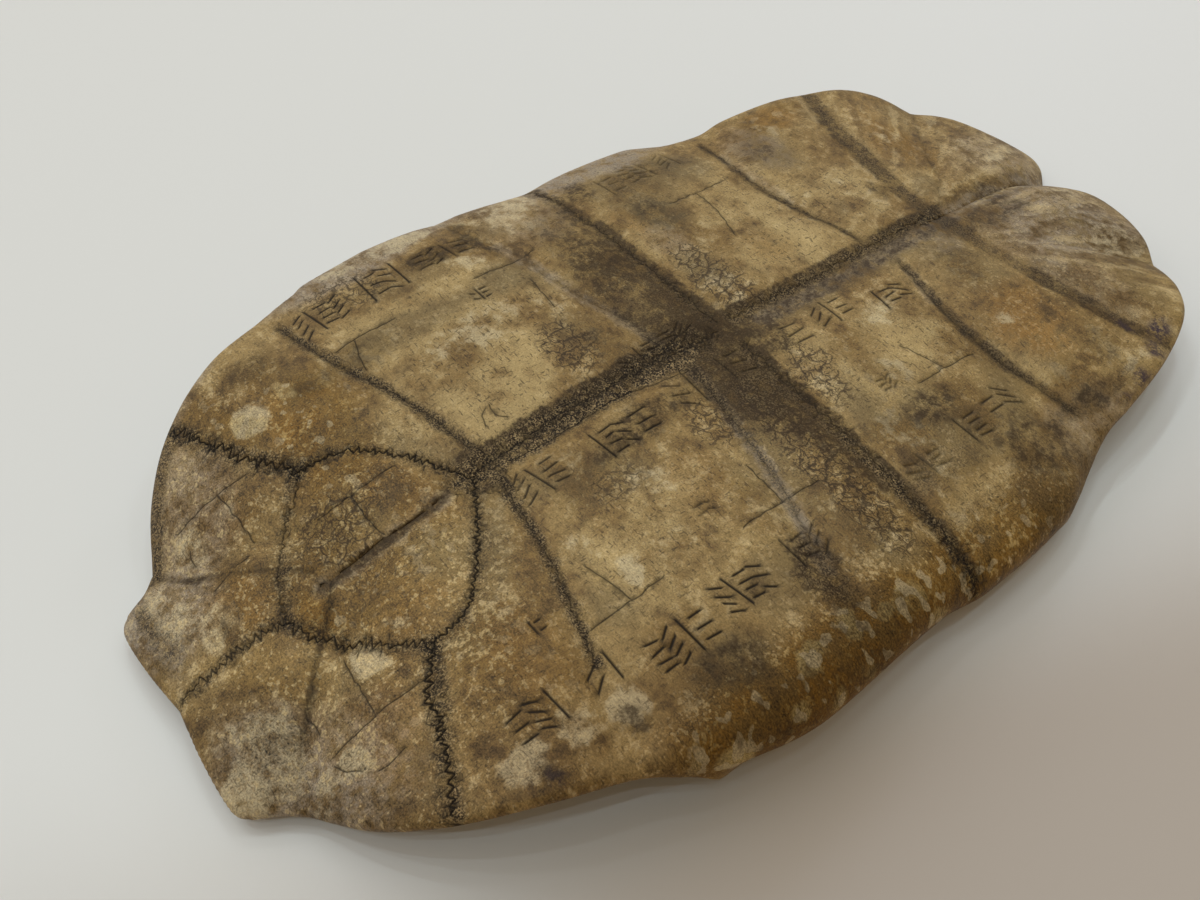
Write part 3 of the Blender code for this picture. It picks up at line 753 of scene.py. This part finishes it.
            (-17, 94, 10, 7, 0.8), (14, 93, 9, 7, 0.75), (-30, 88, 8, 5, 0.6, 30), (54, -20, 5, 17, 1),
            (54, 2, 4, 8, 0.5), (-22, 97, 4, 3, 0.4), (-20, -90, 8, 7, 0.5), (3, -92, 6, 8, 0.4),
            (-7, -58, 3, 4, 0.3), (-14, -82, 13, 16, 0.75), (10, -92, 8, 14, 0.5, 10), (46, 2, 8, 8, 0.4),
            (-50, -44, 6, 10, 0.4), (24, -14, 6, 3, 0.35), (38, -50, 9, 5, 0.4), (-30, -70, 12, 5, 0.3),
        ],
        "bands": [
            ([(-0.4, -60), (-0.4, -98)], 2.6, 0.75), ([(-1.5, -14), (-1.8, -60)], 2, 0.6),
            ([(-4, 4.4), (-20, 7.4), (-36, 11.6), (-46, 15)], 1.3, 0.7),
            ([(-0.6, 74), (-0.7, 52)], 1.7, 0.6), ([(4, 5), (22, 8.6), (42, 12.2)], 1.2, 0.5),
            ([(26, 92), (36, 86), (44, 78), (49.5, 68)], 1.6, 0.6), ([(20, -42), (42, -43)], 1, 0.3),
            ([(-16, -42.2), (-8, -44.6)], 1, 0.4),
        ],
    },
    "warm": {
        "areas": [
            (-61, 20, 4, 34, 0.9), (46, -64, 3, 5, 0.5), (-46, -46, 4, 4, 0.5), (-36, -70, 8, 4, 0.3),
            (44, -57, 5, 4, 0.6), (-23, -57, 3, 4, 0.3), (8, 84, 7, 6, 0.4), (12, -28, 6, 5, 0.3),
            (0, 64, 18, 14, 0.5), (-3, 76.5, 5, 2.6, 0.8), (-46, -12, 2.4, 10, 0.3),
            (-10, 88, 10, 8, 0.4), (-28, 78, 10, 5, 0.45), (-30, 60, 12, 8, 0.45), (26, 60, 14, 8, 0.8),
            (36, 72, 8, 4, 0.6, 20), (28, 50, 8, 3, 0.3), (-58, 26, 7, 28, 0.95), (-57, -8, 6, 20, 0.75),
            (20, -74, 12, 6, 0.45), (-29, 16, 4, 2.4, 0.4), (40, -49, 7, 4, 0.4), (22, 79, 5, 6, 0.35),
            (-33, -12, 3, 3, 0.35), (-17, -22, 3, 6, 0.25), (33, -13, 4, 2, 0.3),
        ],
        "bands": [],
    },
    "amber": {
        "areas": [
            (-30, -52, 9, 7, 1), (28, 62, 11, 6, 0.55), (-4, 77, 4, 3, 0.3), (8, 84, 6, 5, 0.6),
            (-28, 78, 8, 4, 0.6), (40, -50, 7, 4, 0.6), (22, -74, 10, 6, 0.5), (-58, 26, 5, 20, 0.35),
            (45, -60, 5, 4, 0.7), (-14, 66, 5, 7, 0.45), (6, 56, 7, 4, 0.45), (-30, 58, 9, 5, 0.4),
            (33, -12, 5, 3, 0.5), (24, 79, 6, 5, 0.5), (-24, -57, 5, 5, 0.6), (-22, 20, 6, 5, 0.3),
            (12, -28, 6, 5, 0.3), (-56, -8, 5, 16, 0.3), (34, -80, 6, 8, 0.4, 30),
        ],
        "bands": [],
    },
    "violet": {
        "areas": [
            (-45, -72, 2.4, 3.2, 0.9, 30), (-49.8, -59.5, 1.6, 2.8, 0.9), (-47.6, -66.6, 2, 2, 0.9),
            (-40, -65.6, 2.4, 1, 0.6, 10), (-50.6, -54, 1, 2, 0.6), (-47.4, 66.6, 1.4, 1.4, 0.4),
        ],
        "bands": [],
    },
    "grit": {
        "areas": [
            (1, 6, 5, 8, 0.5), (-8, 0, 8, 6, 0.15), (14, 0, 10, 6, 0.1), (13, 96.2, 8, 2, 0.5),
            (-16, -1, 5, 4, 0.3), (-46, 16, 7, 3, 0.4), (-43, -14, 3, 8, 0.3),
        ],
        "bands": [
            ([(0.5, 47), (0.5, 12), (0.6, 4)], 2.9, 1), ([(1.8, -10), (1.8, -36), (1.4, -62)], 1.5, 0.55),
            ([(-6, 5), (-20, 7.4), (-36, 11.6)], 0.9, 0.5),
            ([(-4, -5.8), (-25, -5.4), (-58, -5.2)], 1.6, 0.25), ([(-28, -5.6), (-60, -5.3)], 1.1, 0.55),
            ([(4, -6), (25, -5.8), (57, -5.4)], 1.2, 0.2), (seams["humeralNear"], 1.1, 0.7),
            (seams["humeralFar"], 1.2, 0.7), (seams["epiHyoNear"], 1.6, 0.7),
            (seams["epiHyoFar"], 1.7, 0.7),
            ([(0, 46), (-10, 52), (-18.6, 59.5), (-20.4, 66.4), (-13, 73), (-1.6, 81)], 1.4, 0.45),
            ([(0, 46), (9, 51.4), (17, 58), (19.7, 66.2), (13, 73), (-1.6, 81)], 1.2, 0.45),
            ([(0.4, 100), (0, 82)], 1.2, 0.5), (seams["abdominalFar"], 1, 0.25),
            ([(-5, -45.6), (-26, -41.3), (-48, -44.6)], 1.1, 0.3),
            ([(1, -61.5), (20, -64), (46, -72.5)], 2, 0.3),
            ([(-2, -62), (-24, -63.6), (-46, -71)], 1.6, 0.25),
            ([(24, 92.4), (34, 87), (43, 79)], 2, 0.6),
        ],
    },
    "busy": {
        "areas": [
            (0, 76, 52, 26, 1), (-57, 10, 9, 50, 1), (-10, 0, 44, 8, 0.7), (-30, -62, 26, 14, 0.3),
            (-20, -20, 26, 22, 0.25), (-26, 26, 16, 18, 0.25), (0, -90, 30, 16, 0.3),
        ],
        "bands": [],
    },
    "craze": {
        "areas": [
            (-18, -11.5, 9, 3.6, 0.6), (7, 67, 7, 7, 0.65), (-30, 1, 20, 4, 0.9), (12, 18, 7, 5, 0.8),
            (-15, -13, 5, 3, 0.5), (13, -14, 9, 5, 0.7), (-15, 10, 6, 4, 0.6), (6, -14, 4, 4, 0.6),
            (-46, 16, 8, 4.5, 0.45), (48, 42, 6, 9, 0.5), (-8, 66, 9, 8, 0.35), (8, 57, 6, 4, 0.4),
            (-44, 3, 7, 5, 0.4), (-16, 30, 4, 6, 0.4),
        ],
        "bands": [([(2, 44), (2, -4)], 3, 0.4)],
    },
}


def stainAt(x, y, kind):
    # Each area is 1 in its middle and fades past its edge; together they are 1 - product(1 - each).
    # The places are first moved by soft noise, so that the edges wander.
    wx = x + 2.0 * cloud(x, y, 8, 11) + 0.5 * softNoise(x, y, 1.6, 15)
    wy = y + 2.0 * cloud(x, y, 8, 21) + 0.5 * softNoise(x, y, 1.6, 25)
    left = np.ones(len(x))
    for ax, ay, halfX, halfY, strength, *turn in stains[kind]["areas"]:
        angle = math.radians(turn[0] if turn else 0)
        c, s = math.cos(angle), math.sin(angle)
        away = np.hypot(((wx - ax) * c + (wy - ay) * s) / halfX, ((wy - ay) * c - (wx - ax) * s) / halfY)
        left *= 1 - strength * smoothStep((1.35 - away) / 0.75)
    nx, ny = x + 0.6 * cloud(x, y, 3, 31), y + 0.6 * cloud(x, y, 3, 41)
    for path, half, strength in stains[kind]["bands"]:
        some, away = nearestOn(nx, ny, course(path, 1.5), half * 1.6)
        left[some] *= 1 - strength * smoothStep((1.4 - away / half) / 0.8)
    return 1 - left


def hiddenSeams():
    # the sutures as the hidden face shows them: each one and its mirror image, and the midline
    lines = []
    for line in valleyLines["sutures"][1:]:
        lines += [line, [(-x, y) for x, y in line]]
    return lines + [[(0, 98), (0, -94)]]


def buildPlastron():
    # outer and hidden skin share the rim: their places stand off the wall's middle to either side
    table = wallTable()
    marks = allMarks()
    places, triangles, ringCount = skin(table, plate["topStep"], marks)
    x, y = places.T
    depth, ink = carve(x, y, marks)
    uneven = 0.10 * cloud(x, y, 9, 51) + 0.05 * cloud(x, y, 2.6, 61, 2) - 0.15
    top = place3d(table, x, y, 1, depth - uneven)
    print("  outer face carved")

    faint = plate["underSeam"]
    underMarks = [(course(line, faint["step"]), faint["half"], faint["depth"], faint["ink"])
                  for line in hiddenSeams()]
    underPlaces, underTriangles, _ = skin(table, plate["underStep"], underMarks)
    ux, uy = underPlaces.T
    underDepth, underInk = carve(ux, uy, underMarks)
    under = place3d(table, ux, uy, -1, underDepth + 0.12 - 0.12 * cloud(ux, uy, 7, 71))

    points = np.vstack([top, under[ringCount:]])
    number = np.r_[np.arange(ringCount), np.arange(ringCount, len(under)) + len(top) - ringCount]
    faces = np.vstack([triangles, number[underTriangles][:, ::-1]])
    # centred, and as wide and long as the plain solid
    points[:, 1] -= (points[:, 1].max() + points[:, 1].min()) / 2
    points[:, :2] *= 0.9999 * cadHigh[:2] / mm / points[:, :2].max(axis=0)
    mesh = bpy.data.meshes.new("plastron")
    mesh.from_pydata((points * mm).tolist(), [], faces.tolist())
    mesh.shade_smooth()

    def keep(name, outer, inner):
        values = np.r_[outer, inner[ringCount:]]
        mesh.attributes.new(name, "FLOAT", "POINT").data.foreach_set("value", values.astype(np.float32))

    flat = np.zeros((len(points), 3), np.float32)
    flat[:, :2] = np.vstack([places, underPlaces[ringCount:]])
    mesh.attributes.new("flat", "FLOAT_VECTOR", "POINT").data.foreach_set("vector", flat.ravel())
    keep("ink", ink, underInk)
    for kind in stains:
        keep(kind, stainAt(x, y, kind), np.zeros(len(ux)))
    keep("under", np.zeros(len(x)), np.ones(len(ux)))
    piece = bpy.data.objects.new("plastronBone", mesh)
    bpy.context.scene.collection.objects.link(piece)
    print("plastron built:", len(points), "points,", len(faces), "triangles")
    return piece


class Wire:
    # a node socket that takes part in sums: each sum adds its Math node
    def __init__(self, bench, socket):
        self.bench, self.socket = bench, socket

    def __add__(self, other):
        return self.bench.sum("ADD", self, other)

    def __radd__(self, other):
        return self.bench.sum("ADD", other, self)

    def __sub__(self, other):
        return self.bench.sum("SUBTRACT", self, other)

    def __rsub__(self, other):
        return self.bench.sum("SUBTRACT", other, self)

    def __mul__(self, other):
        return self.bench.sum("MULTIPLY", self, other)

    def __rmul__(self, other):
        return self.bench.sum("MULTIPLY", other, self)

    def lesser(self, other):
        return self.bench.sum("MINIMUM", self, other)

    def greater(self, other):
        return self.bench.sum("MAXIMUM", self, other)


class Bench:
    # the nodes of one material or of the world
    def __init__(self, owner, last):
        owner.use_nodes = True
        self.tree = owner.node_tree
        self.shader = self.tree.nodes[last]

    def add(self, kind, settings, values, output=0):
        # a node of that type: its settings first, then a value or a link for each socket
        node = self.tree.nodes.new(kind)
        for name, value in settings.items():
            setattr(node, name, value)
        self.feed(node, values)
        return Wire(self, node.outputs[output])

    def feed(self, node, values):
        for name, value in values.items():
            if isinstance(value, Wire):
                self.tree.links.new(value.socket, node.inputs[name])
            else:
                node.inputs[name].default_value = value

    def sum(self, operation, *values):
        return self.add("ShaderNodeMath", {"operation": operation}, dict(enumerate(values)))

    def attribute(self, name):
        return self.add("ShaderNodeAttribute", {"attribute_name": name}, {}, "Fac")

    def step(self, value, low, high):
        # 0 below low, 1 above high, eased between
        return self.add("ShaderNodeMapRange", {"interpolation_type": "SMOOTHSTEP"},
                        {"Value": value, "From Min": low, "From Max": high})

    def noise(self, place, scale, detail, rough, shift):
        # soft noise over the flat pattern, each shift another pattern
        moved = self.vector("ADD", place, (shift * 17.3, shift * 9.1, shift * 31.7))
        values = {"Vector": moved, "Scale": scale, "Detail": detail, "Roughness": rough}
        return self.add("ShaderNodeTexNoise", {}, values)

    def net(self, place, scale):
        # distance to the nearest line of a net of cells
        return self.add("ShaderNodeTexVoronoi", {"feature": "DISTANCE_TO_EDGE", "voronoi_dimensions": "2D"},
                        {"Vector": place, "Scale": scale}, "Distance")

    def mix(self, a, b, share):
        return self.add("ShaderNodeMix", {"data_type": "RGBA"}, {0: share, 6: a, 7: b}, 2)

    def vector(self, operation, *values):
        return self.add("ShaderNodeVectorMath", {"operation": operation}, dict(enumerate(values)))

    def combine(self, x, y, z=0):
        return self.add("ShaderNodeCombineXYZ", {}, {"X": x, "Y": y, "Z": z})

    def stretch(self, place, x, y, z):
        return self.vector("MULTIPLY", place, (x, y, z))


def tone(red, green, blue):
    # a screen colour from 0 to 255 as linear light
    parts = [value / 255 for value in (red, green, blue)]
    return (*[part / 12.92 if part <= 0.04 else ((part + 0.055) / 1.055)**2.4 for part in parts], 1)


finish = {
    "ochre": tone(134, 107, 62), "umber": tone(98, 75, 41), "cream": tone(184, 162, 119),
    "tan": tone(149, 125, 80), "calm": tone(174, 151, 104), "pale": tone(183, 167, 133),
    # the lilac tone is partly painted sheen: cool light and reflection on the far rim, front slopes and
    # rear lobes
    "dark": tone(50, 36, 19), "grey": tone(86, 74, 50), "lilacAndSheen": tone(146, 136, 125),
    "warm": tone(102, 71, 13), "amber": tone(136, 101, 50), "violet": tone(45, 34, 48),
    "ink": tone(24, 18, 12), "line": tone(50, 36, 20), "grain": tone(142, 121, 86),
    "under": tone(158, 134, 92),
    "gloss": 0.56, "specular": 0.22, "bump": 0.5, "bumpHeight": 0.0004,
}


def boneFinish():
    material = bpy.data.materials.new("polishedBone")
    bench = Bench(material, "Principled BSDF")
    place = bench.add("ShaderNodeAttribute", {"attribute_name": "flat"}, {}, "Vector")
    broad = bench.noise(place, 0.065, 3, 0.5, 1)
    patchy = bench.noise(place, 0.2, 5, 0.62, 2)
    small = bench.noise(place, 0.55, 4, 0.62, 3)
    speck = bench.noise(place, 1.7, 3, 0.65, 4)
    grain = bench.noise(place, 3.4, 2, 0.6, 5)
    ink, dark, pale, calm, grey, lilacAndSheen, warm, amber, violet, craze, grit, busy, under = [
        bench.attribute(name) for name in ("ink", "dark", "pale", "calm", "grey", "lilacAndSheen", "warm", "amber",
                                           "violet", "craze", "grit", "busy", "under")]
    deep = warm * warm
    broadSwing, patchySwing, smallSwing, speckSwing, grainSwing = [
        noise - 0.5 for noise in (broad, patchy, small, speck, grain)]

    # ground: brown to ochre in patches, tan over wide areas, cream in mottles
    light = bench.step(patchy * 0.65 + small * 0.35 + calm * 0.06, 0.33, 0.53)
    colour = bench.mix(finish["umber"], finish["ochre"], light)
    wide = bench.step(broad * 0.6 + patchy * 0.4 - warm * 0.08, 0.42, 0.58)
    colour = bench.mix(colour, finish["tan"], wide * 0.85)
    spots = bench.step(small * 0.45 + patchy * 0.55, 0.52, 0.64)
    colour = bench.mix(colour, finish["cream"], spots * (0.55 - calm * 0.2))

    # stains, each broken up by noise; the lilac one is partly a painted cool sheen
    broken = bench.step(broad * 0.5 + patchy * 0.5, 0.36, 0.58)
    colour = bench.mix(colour, finish["calm"], calm * broken * 0.8)
    colour = bench.mix(colour, finish["warm"], warm * bench.step(patchy, 0.34, 0.58) * 0.85)
    broken = bench.step(small * 0.4 + patchy * 0.6, 0.36, 0.56)
    colour = bench.mix(colour, finish["amber"], amber * broken * 0.85)
    broken = bench.step(small * 0.6 + broad * 0.4, 0.34, 0.56)
    colour = bench.mix(colour, finish["grey"], grey * broken * 0.8)
    # painted sheen: the lilac mix lightens and cools the far rim, front slopes and rear lobes as reflected
    # cool light would, besides the bone's own lilac tint
    broken = bench.step(small * 0.5 + patchy * 0.5, 0.36, 0.58)
    colour = bench.mix(colour, finish["lilacAndSheen"], lilacAndSheen * broken * 0.8)
    patches = bench.step(pale + (smallSwing + patchySwing) * (1.5 - warm * 0.9), 0.28, 0.85)
    colour = bench.mix(colour, finish["pale"], patches * 0.74)

    # streaks that run out from the middle of the rear lobes: noise over angle and a little over distance
    across, along = [bench.add("ShaderNodeSeparateXYZ", {}, {"Vector": place}, axis) for axis in ("X", "Y")]
    angle = bench.sum("ARCTAN2", across + smallSwing * 3, -46 - along)
    turned = bench.combine(angle * 14, along * 0.08)
    streaks = bench.noise(turned, 1.0, 3, 0.6, 10)
    rear = bench.step(0 - along, 60, 74)
    colour = bench.mix(colour, finish["umber"], rear * bench.step(streaks, 0.5, 0.62) * 0.6)
    colour = bench.mix(colour, finish["cream"], rear * bench.step(1 - streaks, 0.54, 0.66) * 0.55)

    # freckles, pale flecks and pores: short dark dashes lying two ways
    lying = bench.noise(bench.stretch(place, 0.75, 2.5, 1), 1.0, 1, 0.5, 6)
    upright = bench.noise(bench.stretch(place, 2.3, 0.7, 1), 1.0, 1, 0.5, 7)
    dashes = bench.step(lying, 0.62, 0.70).greater(bench.step(upright, 0.63, 0.71))
    colour = bench.mix(colour, finish["umber"], bench.step(speck, 0.51, 0.67) * (0.2 + busy * 0.55))
    colour = bench.mix(colour, finish["line"], dashes * (0.42 + calm * 0.25 + craze * 0.25))
    flecks = bench.noise(place, 1.5, 1, 0.5, 8) + patchySwing * 0.7 + smallSwing * 0.4
    many = 0.2 + busy * 0.45 - deep * 0.36
    colour = bench.mix(colour, finish["cream"], bench.step(flecks, 0.58, 0.70) * many)

    # rounder pale blotches in the deep brown, then dirt: dark patches and dark grit with light grains in it
    rounder = bench.noise(place, 0.45, 1, 0.5, 12)
    blotches = bench.step(rounder + smallSwing * 0.2 + pale * 0.16, 0.62, 0.66)
    colour = bench.mix(colour, finish["pale"], blotches * deep * (0.66 + patchySwing * 1.2))
    ragged = smallSwing * 2.6 + speckSwing * 1.6 + patchySwing * 0.8
    shadow = bench.step(dark + ragged, 0.05, 1.0)
    colour = bench.mix(colour, finish["dark"], shadow * (dark * 1.7).lesser(1) * 0.9)
    grains = bench.step(bench.noise(place, 3.7, 1, 0.6, 9), 0.46, 0.58)
    dirt = bench.mix(finish["ink"], finish["grain"], grains)
    colour = bench.mix(colour, dirt, (grit * (0.3 + bench.step(small, 0.34, 0.6) * 0.8)).lesser(0.92))

    # a net of hairlines, bent by noise and broken up
    bendY = (bench.noise(place, 0.6, 2, 0.5, 11) - 0.5) * 3.4
    bent = bench.vector("ADD", place, bench.combine(smallSwing * 3, bendY))
    coarse = 1 - bench.step(bench.net(bent, 0.37), 0.005, 0.12)
    fine = 1 - bench.step(bench.net(bent, 0.95), 0.02, 0.15)
    left = bench.step(patchy * 0.6 + small * 0.4 + craze * 0.5, 0.54, 0.74)
    lines = coarse.greater(fine * bench.step(speck, 0.42, 0.56)) * left
    colour = bench.mix(colour, finish["line"], (lines * (0.3 + craze * 0.95)).lesser(0.8))
    colour = bench.mix(colour, finish["violet"], violet * bench.step(speck * 0.6 + small * 0.4, 0.38, 0.56))

    # deep brown places hold back some blue
    held = deep * (1 - blotches * 0.8)
    tint = bench.combine(1 + held * 0.03, 1 - held * 0.02, 1 - held * 0.34)
    colour = bench.vector("MULTIPLY", colour, tint)

    # the light and dark of the grain itself
    coarser = smallSwing * 0.7 + patchySwing * 0.5 + broadSwing * 0.7
    uneven = speckSwing + coarser + grainSwing * 1.5
    shade = 0.975 - busy * 0.035 + uneven * (0.85 + busy * 0.6 + grit * 0.8)
    colour = bench.vector("MULTIPLY", colour, shade)
    colour = bench.mix(colour, finish["ink"], (ink * (0.85 + grain * 0.5)).lesser(0.97))
    plain = bench.mix(finish["under"], finish["umber"], bench.step(patchy, 0.42, 0.68) * 0.7)
    colour = bench.mix(colour, plain, under * (1 - ink))

    # roughness, and a bump for the finest unevenness
    gloss = finish["gloss"] + patchySwing * 0.3 + dark * 0.2 + ink * 0.2
    height = small * 0.3 + speck * 0.25 + grain * 0.1
    values = {"Strength": finish["bump"], "Distance": finish["bumpHeight"], "Height": height}
    bump = bench.add("ShaderNodeBump", {}, values, "Normal")
    bench.feed(bench.shader, {"Base Color": colour, "Roughness": gloss, "Normal": bump})
    bench.feed(bench.shader, {"Specular IOR Level": finish["specular"]})
    return material


# The camera, the table and the light
room = {
    "azimuth": 232.73, "elevation": 50.693, "roll": -0.938,     # where the camera stands, in degrees
    "aim": (4.0, 19.855), "distance": 215.2, "lens": 35.99,     # millimetres; the aim is on the table
    "floorSide": 12.0, "floorTone": (0.70, 0.70, 0.69, 1), "floorRoughness": 0.6,
    "daylight": {
        "count": 12, "edge": (-0.067, 0.015, 0), "normal": (-28, 3), "azimuth": (-130, 140),
        "elevation": 67, "tilt": 11, "tiltTurn": 2.4, "distance": 1.7,
        "size": 0.014, "power": 4.55, "blend": 0.01, "colour": (0.80, 0.96, 1.03),
    },
    "glow": {"place": (0.16, -0.34, 0.22), "size": 0.05, "power": 0.42, "colour": (0.85, 0.90, 1.10)},
    "sky": {
        "low": (0.31, 0.235, 0.15, 1), "high": (1.05, 0.98, 0.91, 1),
        "towards": (0.80, 0.15, 0.55), "from": 0.35, "to": 0.95,
    },
}


def level(angle):
    # the level way that points at that angle from +x
    return Vector((math.cos(angle), math.sin(angle), 0))


def makeCamera():
    # looks along the line from its place to the aim, turned a little about that line
    azimuth, elevation, roll = [math.radians(room[name]) for name in ("azimuth", "elevation", "roll")]
    back = level(azimuth - math.pi / 2) * math.cos(elevation) + Vector((0, 0, math.sin(elevation)))
    right = level(azimuth)
    up = back.cross(right)
    tilted = right * math.cos(roll) + up * math.sin(roll)
    aim = Vector((*room["aim"], 0)) * mm
    lens = bpy.data.cameras.new("camera")
    lens.lens, lens.sensor_width, lens.sensor_fit = room["lens"], 36, "HORIZONTAL"
    lens.clip_start = 0.01
    camera = bpy.data.objects.new("camera", lens)
    turn = Matrix((tilted, back.cross(tilted), back)).transposed()
    camera.matrix_world = Matrix.Translation(aim + back * room["distance"] * mm) @ turn.to_4x4()
    bpy.context.scene.collection.objects.link(camera)
    bpy.context.scene.camera = camera


def makeTable():
    side = room["floorSide"]
    corners = [(-side, -side, 0), (side, -side, 0), (side, side, 0), (-side, side, 0)]
    mesh = bpy.data.meshes.new("floor")
    mesh.from_pydata(corners, [], [(0, 1, 2, 3)])
    floor = bpy.data.objects.new("floor", mesh)
    bpy.context.scene.collection.objects.link(floor)
    mesh.materials.append(bpy.data.materials.new("paleTable"))
    bench = Bench(mesh.materials[0], "Principled BSDF")
    bench.feed(bench.shader, {"Base Color": room["floorTone"], "Roughness": room["floorRoughness"]})


def makeLamp(name, kind, place, values):
    lamp = bpy.data.lights.new(name, kind)
    lamp.shadow_soft_size, lamp.energy, lamp.color = values["size"], values["power"], values["colour"]
    light = bpy.data.objects.new(name, lamp)
    light.location = place
    bpy.context.scene.collection.objects.link(light)
    return light


def makeDaylight():
    # A fan of spots, each open to a half space whose border meets the table along a line, and the
    # line turns from one spot to the next. A glow stands over the far end.
    day = room["daylight"]
    edge = Vector(day["edge"])
    for k in range(day["count"]):
        share = k / (day["count"] - 1)
        azimuth, normal = [math.radians(day[name][0] * (1 - share) + day[name][1] * share)
                           for name in ("azimuth", "normal")]
        elevation = math.radians(day["elevation"] + day["tilt"] * math.cos(day["tiltTurn"] * k))
        line = level(normal + math.pi / 2)
        towards = level(azimuth) * math.cos(elevation) + Vector((0, 0, math.sin(elevation)))
        place = edge + towards * day["distance"]
        light = makeLamp("daylight%d" % k, "SPOT", place, day)
        light.data.spot_size, light.data.spot_blend = math.pi, day["blend"]
        light.rotation_euler = line.cross(place - edge).to_track_quat("-Z", "Y").to_euler()
    makeLamp("glow", "POINT", room["glow"]["place"], room["glow"])


def makeSky():
    # warm and dim all round, cool and bright high on the far side
    world = bpy.data.worlds.new("softSky")
    bench = Bench(world, "Background")
    sky = room["sky"]
    ray = bench.add("ShaderNodeTexCoord", {}, {}, "Generated")
    towards = Vector(sky["towards"]).normalized()
    facing = bench.add("ShaderNodeVectorMath", {"operation": "DOT_PRODUCT"}, {0: ray, 1: towards}, "Value")
    glow = bench.step(facing, sky["from"], sky["to"])
    bench.feed(bench.shader, {"Color": bench.mix(sky["low"], sky["high"], glow)})
    bpy.context.scene.world = world
    bpy.context.scene.view_settings.view_transform = "Standard"


makeCamera()
plastron = buildPlastron()
plastron.data.materials.append(boneFinish())
print("finish made")
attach(plastron, "root")
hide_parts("plastron")
makeTable()
makeDaylight()
makeSky()
print("room made")
